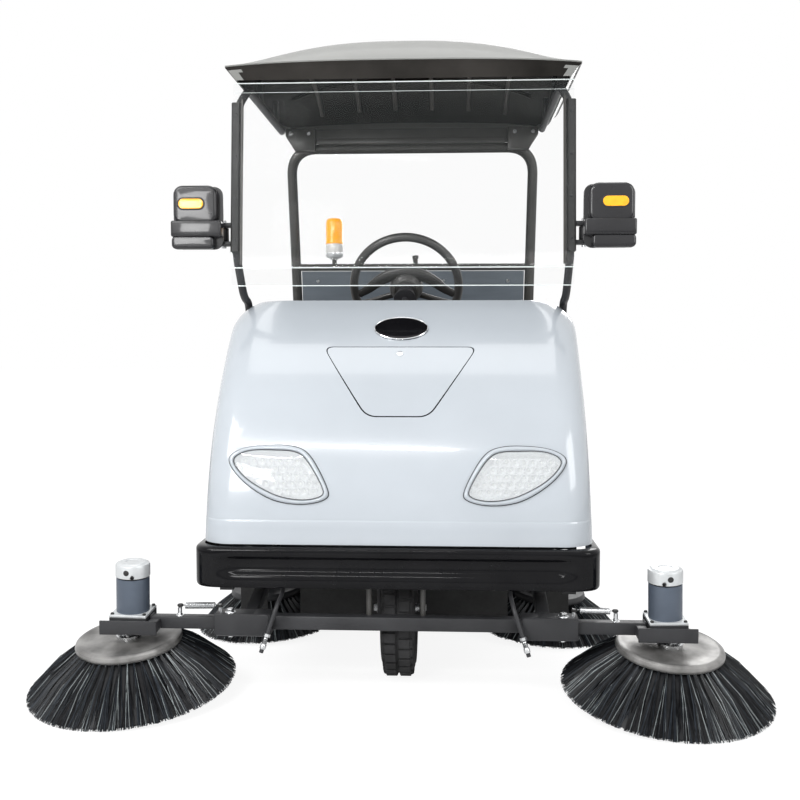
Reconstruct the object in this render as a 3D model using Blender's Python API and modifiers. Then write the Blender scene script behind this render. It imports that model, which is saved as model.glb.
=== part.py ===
"""Ride-on sweeper: three-wheeled battery sweeper with four side brushes and a roller brush.

Frame: metres, +Z up, the front of the machine faces -Y, the driver's left is +X.
The origin is on the ground at the middle of the machine's footprint.
"""
import math

import bmesh
import bpy
from mathutils import Matrix, Vector

# ---------------------------------------------------------------- driving dimensions
GAP = 0.0004                       # clearance between touching pieces

BODY_HALF = 0.535                  # half width of the bodywork
REAR_Y = 0.934                     # rear wall of the body
HOOD_FRONT_Y = -0.730
HOOD_BACK_Y = -0.200
HOOD_LOW_Z = 0.440
HOOD_TOP_Z = 1.130
HOOD_SLOPE = 1.04                  # front face: y = front + slope * (z - low) ** power
HOOD_POWER = 2.3
HOOD_CORNER = 0.090                # plan radius of the front corners
HOOD_SHOULDER = 0.100              # radius where the sides meet the top
HOOD_FLARE = 0.014                 # extra half width at the foot of the hood
HOOD_WALL = 0.005

BUMPER_HALF = 0.564
BUMPER_FRONT_Y = -0.750
BUMPER_LOW_Z = 0.320
BUMPER_TOP_Z = 0.435

WHEEL_R = 0.200
WHEEL_W = 0.100
FRONT_AXLE_Y = -0.480
REAR_AXLE_Y = 0.660
REAR_TRACK_HALF = 0.460

RAIL_X = 0.360
RAIL_LOW_Z = 0.400
RAIL_TOP_Z = 0.460
FLOOR_TOP_Z = 0.476
DECK_Z = 0.800                     # top of the seat box and rear body
BODY_LOW_Z = 0.280
SEAT_BOX_Y = 0.160

POST_X = 0.5125
POST_R = 0.0125
ROOF_RAIL_X = 0.485
ROOF_RAIL_Z = 1.785
HOOP_R = 0.0165
HOOP_HALF_LOW = 0.452
HOOP_HALF_TOP = 0.460
HOOP_LOW = (0.555, DECK_Z + 0.005)   # y, z of the foot of the rear hoop
HOOP_TOP = (0.372, 1.729)          # y, z of the top bar of the rear hoop
MID_RAIL_Z = 1.288

ROOF_HALF = 0.541
ROOF_FRONT_Y = -0.380
ROOF_BACK_Y = 0.520
ROOF_EDGE_Z = 1.840
ROOF_CROWN_Z = 1.987
ROOF_SKIRT = 0.040

STEER_CENTRE = Vector((0.0, -0.070, 1.186))
STEER_AXIS = Vector((0.0, math.cos(math.radians(28)), math.sin(math.radians(28))))
STEER_R = 0.176
STEER_GRIP_R = 0.0145

BRUSH_X = 0.752
BRUSH_Y = -0.720
BRUSH_DISC_Z = 0.165
BRUSH_DISC_R = 0.147
BRUSH_RING_R = 0.292
BRUSH_DROP = 0.127                 # disc centre to bristle tips, along the axis
BRUSH_TILT_OUT = math.radians(2.5)
BRUSH_TILT_FORWARD = math.radians(7.2)
MOTOR_X = 0.740                     # the gear motor sits a little inboard of the disc, nearly upright
MOTOR_TILT_OUT = math.radians(-1.5)
MOTOR_TILT_FORWARD = math.radians(3.0)

REAR_BRUSH_X = 0.490
REAR_BRUSH_Y = -0.010
REAR_BRUSH_DISC_Z = 0.135
REAR_BRUSH_DISC_R = 0.125
REAR_BRUSH_RING_R = 0.250
REAR_BRUSH_DROP = 0.114
REAR_BRUSH_TILT = math.radians(3.0)
REAR_PIVOT_Y = -0.190
REAR_PIVOT_Z = 0.345

CROSS_Y = -0.720
CROSS_Z = 0.222
CROSS_SIZE = 0.038
ARM_PIVOT_X = 0.460
ARM_Y = -0.735
FRAME_PIVOT_Y = -0.260
FRAME_PIVOT_Z = 0.330
FRAME_ARM_X = 0.410

ROLLER_Y = 0.380
ROLLER_R = 0.140
ROLLER_HALF = 0.330
ROLLER_Z = ROLLER_R + 0.0025

MIRROR_X = 0.625
MIRROR_Z = 1.378
MIRROR_PIVOT = (0.556, -0.345)

SIDES = (("right", -1.0), ("left", 1.0))   # the driver's right is -X

# ---------------------------------------------------------------- scene and materials
for old in list(bpy.data.objects):
    bpy.data.objects.remove(old, do_unlink=True)

parts = bpy.data.collections.new("ride_on_sweeper")
tools = bpy.data.collections.new("cutters")
bpy.context.scene.collection.children.link(parts)
bpy.context.scene.collection.children.link(tools)


def material(name, colour, roughness, metallic=0.0):
    """A Principled material of one colour."""
    mat = bpy.data.materials.new(name)
    mat.use_nodes = True
    shader = mat.node_tree.nodes["Principled BSDF"]
    shader.inputs["Base Color"].default_value = (*colour, 1.0)
    shader.inputs["Roughness"].default_value = roughness
    shader.inputs["Metallic"].default_value = metallic
    return mat


HOOD_PAINT = ((0.62, 0.67, 0.70), 0.25)
PANEL_PAINT = ((0.20, 0.23, 0.27), 0.35)
ROOF_PAINT = ((0.55, 0.57, 0.57), 0.35)
FRAME_PAINT = ((0.05, 0.05, 0.055), 0.45)
BLACK_GLOSS = ((0.012, 0.012, 0.014), 0.18)
BLACK_PLASTIC = ((0.03, 0.03, 0.032), 0.50)
TYRE_RUBBER = ((0.035, 0.035, 0.035), 0.80)
BRISTLE = ((0.03, 0.033, 0.04), 0.60)
ZINC = ((0.70, 0.71, 0.72), 0.30, 1.0)
MOTOR_GREY = ((0.24, 0.27, 0.31), 0.40)
CLEAR = ((0.90, 0.93, 0.94), 0.05)
AMBER = ((0.95, 0.42, 0.03), 0.20)
RED = ((0.60, 0.02, 0.02), 0.30)
VINYL = ((0.025, 0.025, 0.027), 0.55)


# ---------------------------------------------------------------- helpers
def to_object(name, mesh, collection=None):
    obj = bpy.data.objects.new(name, mesh)
    (collection or tools).objects.link(obj)
    return obj


def bake(obj):
    """Replace an object by its evaluated mesh in world space, with modifiers applied."""
    bpy.context.view_layer.update()
    graph = bpy.context.evaluated_depsgraph_get()
    mesh = bpy.data.meshes.new_from_object(obj.evaluated_get(graph))
    mesh.transform(obj.matrix_world)
    bm = bmesh.new()
    bm.from_mesh(mesh)
    bmesh.ops.remove_doubles(bm, verts=bm.verts, dist=0.00002)
    bm.to_mesh(mesh)
    bm.free()
    baked = to_object(obj.name + "_baked", mesh)
    bpy.data.objects.remove(obj, do_unlink=True)
    return baked


def frame_to(location, direction=(0, 0, 1)):
    """Matrix that takes local +Z to a direction at a location, with local X kept level."""
    up = Vector(direction).normalized()
    side = Vector((0, 1, 0)) if abs(up.x) > 0.9 else Vector((1, 0, 0))
    across = (side - up * side.dot(up)).normalized()
    turn = Matrix((across, up.cross(across), up)).transposed().to_4x4()
    return Matrix.Translation(Vector(location)) @ turn


def box(low, high, bevel=0.0, segments=2, turn=None):
    """A box between two corners; turn is a matrix about its centre."""
    low, high = Vector(low), Vector(high)
    bm = bmesh.new()
    bmesh.ops.create_cube(bm, size=1.0, matrix=Matrix.Diagonal((*(high - low), 1.0)))
    mesh = bpy.data.meshes.new("box")
    bm.to_mesh(mesh)
    bm.free()
    obj = to_object("box", mesh)
    obj.matrix_world = Matrix.Translation((low + high) / 2) @ (turn or Matrix())
    if bevel:
        mod = obj.modifiers.new("round", "BEVEL")
        mod.width = bevel
        mod.segments = segments
    return bake(obj)


def cylinder(start, end, radius, segments=16, end_radius=None, bevel=0.0):
    """A cylinder or cone between two points."""
    start, end = Vector(start), Vector(end)
    bm = bmesh.new()
    bmesh.ops.create_cone(bm, cap_ends=True, segments=segments, radius1=radius,
                          radius2=radius if end_radius is None else end_radius,
                          depth=(end - start).length)
    mesh = bpy.data.meshes.new("cylinder")
    bm.to_mesh(mesh)
    bm.free()
    obj = to_object("cylinder", mesh)
    obj.matrix_world = frame_to((start + end) / 2, end - start)
    if bevel:
        mod = obj.modifiers.new("round", "BEVEL")
        mod.width = bevel
        mod.segments = 2
        mod.limit_method = "ANGLE"
    return bake(obj)


def turned(profile, location, direction=(0, 0, 1), segments=24):
    """A profile of (radius, height) points, top to bottom down its outer side, turned about the axis."""
    mesh = bpy.data.meshes.new("turned")
    closed = profile[0][0] > 0.0
    edges = [(i, i + 1) for i in range(len(profile) - 1)]
    if closed:
        edges.append((len(profile) - 1, 0))
    mesh.from_pydata([(r, 0.0, h) for r, h in profile], edges, [])
    obj = to_object("turned", mesh)
    obj.matrix_world = frame_to(location, direction)
    screw = obj.modifiers.new("turn", "SCREW")
    screw.steps = segments
    screw.render_steps = segments
    screw.use_merge_vertices = True
    screw.merge_threshold = 0.00002
    return bake(obj)


def rounded_path(points, radius, steps=4):
    """Corner points of a route, each inner corner replaced by a short curve."""
    points = [Vector(p) for p in points]
    path = [points[0]]
    for before, corner, after in zip(points, points[1:], points[2:]):
        reach = min(radius, 0.45 * (before - corner).length, 0.45 * (after - corner).length)
        a = corner + (before - corner).normalized() * reach
        b = corner + (after - corner).normalized() * reach
        for i in range(steps + 1):
            t = i / steps
            path.append(a * (1 - t) ** 2 + corner * 2 * t * (1 - t) + b * t ** 2)
    path.append(points[-1])
    return path


def tube(points, radius, resolution=2, corner=0.06, steps=4):
    """A round bar along a route of corner points."""
    path = rounded_path(points, corner, steps)
    curve = bpy.data.curves.new("tube", "CURVE")
    curve.dimensions = "3D"
    curve.bevel_depth = radius
    curve.bevel_resolution = resolution
    curve.use_fill_caps = True
    spline = curve.splines.new("POLY")
    spline.points.add(len(path) - 1)
    for point, place in zip(spline.points, path):
        point.co = (*place, 1.0)
    return bake(to_object("tube", curve))


def plate(outline, low, high, axis="Z", bevel=0.0):
    """A flat outline filled and given a thickness from low to high along an axis."""
    curve = bpy.data.curves.new("plate", "CURVE")
    curve.dimensions = "2D"
    curve.fill_mode = "BOTH"
    curve.extrude = (high - low) / 2
    spline = curve.splines.new("POLY")
    spline.points.add(len(outline) - 1)
    spline.use_cyclic_u = True
    for point, (u, v) in zip(spline.points, outline):
        point.co = (u, v, 0.0, 1.0)
    obj = to_object("plate", curve)
    columns = {"Z": ((1, 0, 0), (0, 1, 0), (0, 0, 1)),
               "Y": ((1, 0, 0), (0, 0, 1), (0, -1, 0)),
               "X": ((0, 1, 0), (0, 0, 1), (1, 0, 0))}[axis]
    turn = Matrix(columns).transposed().to_4x4()
    middle = (high + low) / 2
    shift = {"Z": (0, 0, middle), "Y": (0, middle, 0), "X": (middle, 0, 0)}[axis]
    obj.matrix_world = Matrix.Translation(shift) @ turn
    flat = bake(obj)
    if bevel:
        mod = flat.modifiers.new("round", "BEVEL")
        mod.width = bevel
        mod.segments = 2
        mod.limit_method = "ANGLE"
        flat = bake(flat)
    return flat


def combine(body, others, operation):
    """Boolean of a body with each other object in turn; the others are used up."""
    for other in others:
        mod = body.modifiers.new("cut", "BOOLEAN")
        mod.operation = operation
        mod.solver = "EXACT"
        mod.object = other
        body = bake(body)
        bpy.data.objects.remove(other, do_unlink=True)
    return body


def union(pieces):
    return combine(pieces[0], pieces[1:], "UNION")


def cut(body, *cutters):
    return combine(body, cutters, "DIFFERENCE")


def common(body, cutter):
    return combine(body, [cutter], "INTERSECT")


def node(name, pieces, look, origin=(0, 0, 0)):
    """Weld pieces into one named object with its origin on its joint or datum."""
    whole = union(pieces)
    mesh = whole.data
    bpy.data.objects.remove(whole, do_unlink=True)
    mesh.name = name
    mesh.transform(Matrix.Translation(-Vector(origin)))
    mesh.shade_smooth()
    mesh.set_sharp_from_angle(angle=math.radians(35))
    mesh.materials.clear()
    mesh.materials.append(material(name + "_look", *look))
    obj = to_object(name, mesh, parts)
    obj.location = origin
    return obj


def mirror_x(piece):
    """The piece reflected in the middle plane of the machine."""
    mesh = piece.data.copy()
    mesh.transform(Matrix.Diagonal((-1.0, 1.0, 1.0, 1.0)))
    mesh.flip_normals()
    return to_object(piece.name, mesh)


def pair(make):
    """Left piece and its mirror image."""
    left = make()
    return [left, mirror_x(left)]


def sided(make, side):
    """A piece that make() draws on the left, on the side asked for."""
    pieces = make()
    if side > 0:
        return pieces
    mirrored = [mirror_x(piece) for piece in pieces]
    for piece in pieces:
        bpy.data.objects.remove(piece, do_unlink=True)
    return mirrored


def smooth_loop(points, steps=3):
    """A closed smooth outline through a few points (Catmull-Rom)."""
    count = len(points)
    loop = []
    for i in range(count):
        p0, p1, p2, p3 = (Vector(points[(i + k) % count]) for k in (-1, 0, 1, 2))
        for s in range(steps):
            t = s / steps
            loop.append(tuple(0.5 * (2 * p1 + (p2 - p0) * t + (2 * p0 - 5 * p1 + 4 * p2 - p3) * t ** 2
                                     + (3 * p1 - p0 - 3 * p2 + p3) * t ** 3)))
    return loop


def round_corners(points, radius, steps=3):
    """A closed outline whose corners are replaced by short curves."""
    count = len(points)
    loop = []
    for i in range(count):
        before, corner, after = (Vector(points[(i + k) % count]) for k in (-1, 0, 1))
        a = corner + (before - corner).normalized() * radius
        b = corner + (after - corner).normalized() * radius
        for s in range(steps + 1):
            t = s / steps
            loop.append(tuple(a * (1 - t) ** 2 + corner * 2 * t * (1 - t) + b * t ** 2))
    return loop


# ---------------------------------------------------------------- bodywork
def hood_face_y(z):
    """Y of the hood's front face at a height."""
    return HOOD_FRONT_Y + HOOD_SLOPE * max(z - HOOD_LOW_Z, 0.0) ** HOOD_POWER


def hood_half(z):
    """Half width of the hood at a height: flared at the foot, then straight, then a round shoulder."""
    start = HOOD_TOP_Z - HOOD_SHOULDER
    if z <= start:
        return BODY_HALF + HOOD_FLARE * max(0.0, (0.95 - z) / 0.51) ** 1.6
    rise = min(z - start, HOOD_SHOULDER)
    return BODY_HALF - HOOD_SHOULDER + math.sqrt(HOOD_SHOULDER ** 2 - rise ** 2)


def hood_row(z, columns=5):
    """Right half of the plan outline at a height, from the middle round to the back edge."""
    half = hood_half(z)
    front = hood_face_y(z)
    corner = min(HOOD_CORNER, 0.8 * (HOOD_BACK_Y - front))
    row = [(half - corner) * i / 3 for i in range(3)]
    row = [(x, front, z) for x in row]
    for i in range(columns + 1):
        angle = math.radians(90) * i / columns
        row.append((half - corner + corner * math.sin(angle), front + corner - corner * math.cos(angle), z))
    row.append((half, HOOD_BACK_Y, z))
    return row


def hood_shell(offset=0.0, wall=HOOD_WALL):
    """The hood's skin: rows of the plan outline from the bottom to the top, closed over the top."""
    straight = [HOOD_LOW_Z + (HOOD_TOP_Z - HOOD_SHOULDER - HOOD_LOW_Z) * i / 6 for i in range(7)]
    shoulder = [HOOD_TOP_Z - HOOD_SHOULDER + HOOD_SHOULDER * math.sin(math.radians(18 * i))
                for i in range(1, 6)]
    rows = [hood_row(z) for z in straight + shoulder]
    rows.append([(min(x, rows[-1][-1][0]), HOOD_BACK_Y, HOOD_TOP_Z) for x, y, z in rows[-1]])
    bm = bmesh.new()
    grid = [[bm.verts.new(place) for place in row] for row in rows]
    for lower, upper in zip(grid, grid[1:]):
        for i in range(len(lower) - 1):
            bm.faces.new((lower[i], lower[i + 1], upper[i + 1], upper[i]))
    bmesh.ops.remove_doubles(bm, verts=bm.verts, dist=0.0002)
    mesh = bpy.data.meshes.new("hood")
    bm.to_mesh(mesh)
    bm.free()
    obj = to_object("hood", mesh)
    mirror = obj.modifiers.new("mirror", "MIRROR")
    mirror.merge_threshold = 0.00005
    solid = obj.modifiers.new("wall", "SOLIDIFY")
    solid.thickness = wall
    solid.offset = -1.0 + 2.0 * offset / wall
    solid.use_even_offset = True
    solid.thickness_clamp = 0.5
    return bake(obj)


LAMP_OUTLINE = ((0.468, 0.668), (0.440, 0.697), (0.375, 0.709), (0.290, 0.707), (0.240, 0.680),
                (0.192, 0.598), (0.196, 0.566), (0.262, 0.552), (0.345, 0.565), (0.425, 0.613))
LID_TOP = (0.228, 0.984)
LID_LOW = (0.088, 0.790)
BADGE_Z = 1.038
BADGE_HALF = (0.081, 0.034)


def scaled(outline, centre, grow):
    """An outline moved outwards from a centre by about grow."""
    moved = []
    for u, v in outline:
        away = Vector((u - centre[0], v - centre[1]))
        away.length += grow
        moved.append((centre[0] + away.x, centre[1] + away.y))
    return moved


LAMP_CENTRE = (0.330, 0.632)


def lamp_prism(grow, low_y, high_y):
    return plate(scaled(smooth_loop(LAMP_OUTLINE), LAMP_CENTRE, grow), low_y, high_y, "Y")


def lid_prism(grow, low_y, high_y):
    corners = [(-LID_TOP[0], LID_TOP[1]), (LID_TOP[0], LID_TOP[1]),
               (LID_LOW[0], LID_LOW[1]), (-LID_LOW[0], LID_LOW[1])]
    outline = round_corners(corners, 0.030)
    middle = (0.0, (LID_TOP[1] + LID_LOW[1]) / 2)
    return plate(scaled(outline, middle, grow), low_y, high_y, "Y")


def badge_prism(grow=0.0):
    steps = 24
    loop = [((BADGE_HALF[0] + grow) * math.cos(2 * math.pi * i / steps),
             BADGE_Z + (BADGE_HALF[1] + grow) * math.sin(2 * math.pi * i / steps)) for i in range(steps)]
    return plate(loop, -0.55, -0.25, "Y")


def make_front():
    """Hood, its lid, storage tub, badge plate, headlights and bumper."""
    prisms = [lid_prism(0.002, -0.80, -0.30)]
    prisms += pair(lambda: lamp_prism(0.001, -0.80, -0.55))
    node("front_hood", [cut(hood_shell(), *prisms)], HOOD_PAINT)

    lid = common(hood_shell(0.0, 0.004), lid_prism(0.0, -0.80, -0.30))
    lock_z = LID_TOP[1] - 0.020
    lock_at = Vector((0.0, hood_face_y(lock_z), lock_z))
    slope = HOOD_SLOPE * HOOD_POWER * (lock_z - HOOD_LOW_Z) ** (HOOD_POWER - 1)
    outward = Vector((0.0, -1.0, slope)).normalized()
    lid = cut(lid, cylinder(lock_at - outward * 0.03, lock_at + outward * 0.03, 0.0095))
    hinge = (0.0, hood_face_y(LID_LOW[1]) + 0.004, LID_LOW[1] + 0.002)
    node("storage_lid", [lid], HOOD_PAINT, hinge)
    barrel = cylinder(lock_at - outward * 0.016, lock_at + outward * 0.002, 0.0085)
    node("lid_lock", [barrel], ZINC, lock_at)

    outer = [(-0.600, 0.665), (-0.340, 0.665), (-0.340, 0.975), (-0.452, 0.975), (-0.600, 0.805)]
    inner = [(-0.595, 0.670), (-0.345, 0.670), (-0.345, 0.970), (-0.470, 0.970),
             (-0.520, 1.020), (-0.640, 0.880), (-0.595, 0.815)]
    tub = cut(plate(outer, -0.20, 0.20, "X"), plate(inner, -0.195, 0.195, "X"))
    node("storage_tub", [tub], BLACK_PLASTIC)

    badge = common(hood_shell(0.004, 0.0035), badge_prism())
    node("badge_plate", [badge], BLACK_GLOSS)

    for name, side in SIDES:
        lens = sided(lambda: [common(hood_shell(0.003, 0.003), lamp_prism(-0.006, -0.80, -0.55))], side)
        node("headlight_lens_" + name, lens, CLEAR)

        def bowl():
            rim = common(hood_shell(0.005, 0.012), lamp_prism(0.0, -0.80, -0.55))
            rim = cut(rim, lamp_prism(-0.0055, -0.80, -0.55))
            cup = cut(lamp_prism(-0.0012, -0.735, -0.590), lamp_prism(-0.0043, -0.800, -0.596))
            return [union([rim, cut(cup, hood_shell(0.100, 0.101))])]

        node("headlight_" + name, sided(bowl, side), BLACK_PLASTIC)


def bumper_ring(z, inset):
    """Plan outline of the bumper's outside at a height, from right to left."""
    half = BUMPER_HALF - inset
    front = BUMPER_FRONT_Y + inset
    radius = 0.060
    row = [(-half, -0.42), ]
    for i in range(5):
        angle = math.radians(90) * i / 4
        row.append((-half + radius - radius * math.cos(angle), front + radius - radius * math.sin(angle)))
    row += [(-x, y) for x, y in reversed(row)]
    return [(x, y, z) for x, y in row]


def make_bumper():
    """A hollow moulding with a shallow channel along it, wrapped round the corners."""
    height = BUMPER_TOP_Z - BUMPER_LOW_Z
    section = [(0.020, 0.02), (0.006, 0.0), (0.0, 0.12), (0.0, 0.38), (0.006, 0.46),
               (0.006, 0.72), (0.0, 0.80), (0.0, 0.93), (0.014, 1.0)]
    rows = [bumper_ring(BUMPER_LOW_Z + share * height, inset) for inset, share in section]
    bm = bmesh.new()
    grid = [[bm.verts.new(place) for place in row] for row in rows]
    for lower, upper in zip(grid, grid[1:]):
        for i in range(len(lower) - 1):
            bm.faces.new((lower[i], lower[i + 1], upper[i + 1], upper[i]))
    mesh = bpy.data.meshes.new("bumper")
    bm.to_mesh(mesh)
    bm.free()
    obj = to_object("bumper", mesh)
    solid = obj.modifiers.new("wall", "SOLIDIFY")
    solid.thickness = 0.004
    solid.offset = -1.0
    node("bumper", [bake(obj)], BLACK_GLOSS)


def make_dashboard():
    """Console behind the hood with its switches, and the pedals on the floor in front of it."""
    outline = [(-0.196, 0.480), (-0.196, 1.100), (-0.105, 1.060), (-0.085, 1.020), (-0.165, 0.900),
               (-0.165, 0.480)]
    console = plate(outline, -0.496, 0.496, "X", bevel=0.006)
    console = cut(console, box((-0.020, -0.300, 0.400), (0.020, -0.150, 1.200)))
    node("dashboard", [console], BLACK_PLASTIC)

    slope = Vector((0.0, 0.091, -0.040)).normalized()
    up = Vector((0.0, 0.040, 0.091)).normalized()
    face = Vector((0.0, -0.150, 1.0798)) + up * GAP

    stop_at = face + Vector((-0.30, 0.0, 0.0))
    mushroom = turned([(0.0, 0.030), (0.016, 0.027), (0.020, 0.020), (0.019, 0.014), (0.009, 0.012),
                       (0.009, 0.006), (0.0, 0.006)], stop_at, up)
    node("emergency_stop", [mushroom], RED, stop_at)

    key_at = face + Vector((0.26, 0.0, 0.0))
    barrel = cylinder(key_at, key_at + up * 0.008, 0.012)
    bow = box((-0.0015, -0.011, 0.0), (0.0015, 0.011, 0.034), 0.001, 1)
    bow.data.transform(frame_to(key_at + up * 0.006, up))
    node("key_switch", [barrel, bow], ZINC, key_at)

    for name, x, width in (("accelerator_pedal", -0.170, 0.070), ("brake_pedal", -0.040, 0.080)):
        tread = plate([(-0.062, 0.490), (-0.126, 0.592), (-0.119, 0.596), (-0.055, 0.494)],
                      x - width / 2, x + width / 2, "X")
        barrel = cylinder((x - width / 2, -0.056, 0.486), (x + width / 2, -0.056, 0.486), 0.008, 12)
        node(name, [tread, barrel], BLACK_PLASTIC, (x, -0.056, 0.486))


def make_steering():
    """Wheel, horn button, column with its shaft, fork and front wheel."""
    up = STEER_AXIS
    centre = STEER_CENTRE
    bpy.ops.mesh.primitive_torus_add(major_segments=24, minor_segments=6, major_radius=STEER_R,
                                     minor_radius=STEER_GRIP_R)
    wheel = bpy.context.active_object
    hub = turned([(0.0, 0.012), (0.050, 0.012), (0.058, 0.002), (0.052, -0.030), (0.024, -0.046),
                  (0.0, -0.046)],
                 (0, 0, 0))
    pieces = [wheel, hub]
    for degrees in (0, 180, 90):
        spoke = box((0.040, -0.017, -0.010), (STEER_R - 0.006, 0.017, 0.004), 0.004, 1)
        spoke.data.transform(Matrix.Rotation(math.radians(degrees), 4, "Z"))
        pieces.append(spoke)
    whole = cut(union(pieces), cylinder((0, 0, 0.003), (0, 0, 0.050), 0.0305, 20))
    whole.data.transform(frame_to(centre, up))
    node("steering_wheel", [whole], VINYL, centre)
    button = turned([(0.0, 0.017), (0.022, 0.015), (0.029, 0.009), (0.029, 0.0075), (0.0, 0.0075)],
                    centre, up)
    node("horn_button", [button], BLACK_GLOSS, centre)

    column = turned([(0.0, -0.0475), (0.026, -0.0475), (0.030, -0.075), (0.038, -0.105), (0.0, -0.105)],
                    centre, up)
    shaft = tube([centre - up * 0.100, (0.0, -0.176, 1.128), (0.0, -0.178, 0.700), (0.0, -0.370, 0.630)],
                 0.011, 1, 0.02, 2)
    node("steering_column", [column, shaft], BLACK_PLASTIC, centre)


def axle_wheel(centre):
    """Tyre on a dished rim about an axis along X, drawn as one solid of revolution."""
    half = WHEEL_W / 2
    profile = [(0.0, half - 0.022), (0.032, half - 0.022), (0.036, half - 0.030), (0.084, half - 0.030),
               (0.098, half - 0.009), (0.145, half), (0.184, half - 0.006), (WHEEL_R, half - 0.022)]
    lower = [(r, -h) for r, h in reversed(profile)]
    return turned(profile + lower, centre, (1, 0, 0), 24)


def make_wheels():
    hub = Vector((0.0, FRONT_AXLE_Y, WHEEL_R))
    node("front_wheel", [cut(axle_wheel(hub), cylinder((-0.2, hub.y, hub.z), (0.2, hub.y, hub.z), 0.0125))],
         TYRE_RUBBER, hub)
    leg = [(-0.465, 0.180), (-0.455, 0.300), (-0.440, 0.424), (-0.520, 0.424), (-0.505, 0.300),
           (-0.495, 0.180)]
    legs = pair(lambda: plate(leg, 0.058, 0.068, "X"))
    crown = box((-0.068, -0.520, 0.412), (0.068, -0.440, 0.430))
    axle = cylinder((-0.068, hub.y, hub.z), (0.068, hub.y, hub.z), 0.012, 16)
    stem = cylinder((0, FRONT_AXLE_Y, 0.420), (0, FRONT_AXLE_Y, 0.600), 0.022, 20)
    sprocket = cylinder((0, FRONT_AXLE_Y, 0.590), (0, FRONT_AXLE_Y, 0.598), 0.045, 20)
    node("steering_fork", [crown, *legs, axle, stem, sprocket], FRAME_PAINT, (0, FRONT_AXLE_Y, WHEEL_R))
    for name, side in SIDES:
        centre = Vector((side * REAR_TRACK_HALF, REAR_AXLE_Y, WHEEL_R))
        tyre = cut(axle_wheel(centre),
                   cylinder(centre - Vector((0.2, 0, 0)), centre + Vector((0.2, 0, 0)), 0.0165))
        node("rear_wheel_" + name, [tyre], TYRE_RUBBER, centre)
    reach = REAR_TRACK_HALF + 0.035
    axle = cylinder((-reach, REAR_AXLE_Y, WHEEL_R), (reach, REAR_AXLE_Y, WHEEL_R), 0.016, 16)
    casing = cylinder((-0.395, REAR_AXLE_Y, WHEEL_R), (0.395, REAR_AXLE_Y, WHEEL_R), 0.032, 16)
    gearbox = turned([(0.0, 0.070), (0.050, 0.065), (0.085, 0.030), (0.085, -0.030), (0.050, -0.065),
                      (0.0, -0.070)],
                     (0.0, REAR_AXLE_Y, WHEEL_R), (1, 0, 0), 20)
    motor = cylinder((0.0, REAR_AXLE_Y, WHEEL_R), (0.0, 0.860, WHEEL_R), 0.058, 20)
    stands = pair(lambda: box((0.340, REAR_AXLE_Y - 0.025, WHEEL_R),
                              (0.380, REAR_AXLE_Y + 0.025, RAIL_LOW_Z - GAP)))
    node("rear_axle", [casing, axle, gearbox, motor, *stands], FRAME_PAINT, (0, REAR_AXLE_Y, WHEEL_R))


def make_chassis():
    """Two long rails, cross members, the steering head and the lugs that the brush frames hang on."""
    rails = pair(lambda: box((RAIL_X - 0.025, -0.640, RAIL_LOW_Z),
                             (RAIL_X + 0.025, REAR_Y - 0.015, RAIL_TOP_Z)))
    cross = [box((-RAIL_X, y - 0.020, RAIL_LOW_Z + 0.004), (RAIL_X, y + 0.020, RAIL_TOP_Z - 0.004))
             for y in (-0.610, -0.225, 0.200, 0.590, REAR_Y - 0.035)]
    head = cylinder((0, FRONT_AXLE_Y, 0.436), (0, FRONT_AXLE_Y, 0.585), 0.036, 20)
    braces = [box((-0.030, -0.605, 0.441), (0.030, -0.230, 0.453))]
    lugs = pair(lambda: box((0.345, FRAME_PIVOT_Y - 0.020, 0.305),
                            (0.375, FRAME_PIVOT_Y + 0.020, RAIL_LOW_Z + 0.010)))
    pins = pair(lambda: cylinder((0.360, FRAME_PIVOT_Y, FRAME_PIVOT_Z),
                                 (0.436, FRAME_PIVOT_Y, FRAME_PIVOT_Z), 0.009, 12))
    rear_lugs = pair(lambda: box((0.346, REAR_PIVOT_Y - 0.015, 0.325),
                                 (0.374, REAR_PIVOT_Y + 0.015, RAIL_LOW_Z + 0.011)))
    rear_pins = pair(lambda: cylinder((0.359, REAR_PIVOT_Y, REAR_PIVOT_Z),
                                      (0.434, REAR_PIVOT_Y, REAR_PIVOT_Z), 0.008, 12))
    brackets = pair(lambda: box((0.462, -0.688, 0.300), (0.500, -0.670, 0.448)))
    arms = pair(lambda: box((0.350, -0.683, 0.417), (0.496, -0.655, 0.443)))
    tie = pair(lambda: box((0.345, -0.676, 0.412), (0.378, -0.600, 0.449)))
    whole = union([rails[0], *cross, rails[1], *braces, head, *lugs, *pins, *rear_lugs, *rear_pins,
                   *arms, *tie, *brackets])
    whole = cut(whole, cylinder((0, FRONT_AXLE_Y, 0.40), (0, FRONT_AXLE_Y, 0.65), 0.0225, 20))
    node("chassis_frame", [whole], FRAME_PAINT)

    floor = box((-BODY_HALF, HOOD_BACK_Y + 0.002, 0.360), (BODY_HALF, SEAT_BOX_Y - GAP, FLOOR_TOP_Z), 0.008)
    floor = cut(floor, box((-BODY_HALF + 0.006, -1.0, 0.20), (BODY_HALF - 0.006, 1.0, RAIL_TOP_Z + GAP)))
    node("floor_plate", [floor], FRAME_PAINT)


def glass_y(z):
    """Y of the middle of the windscreen at a height; it leans back towards the top."""
    return -0.400 + 0.055 * (z - 1.168) / 0.632


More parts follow.
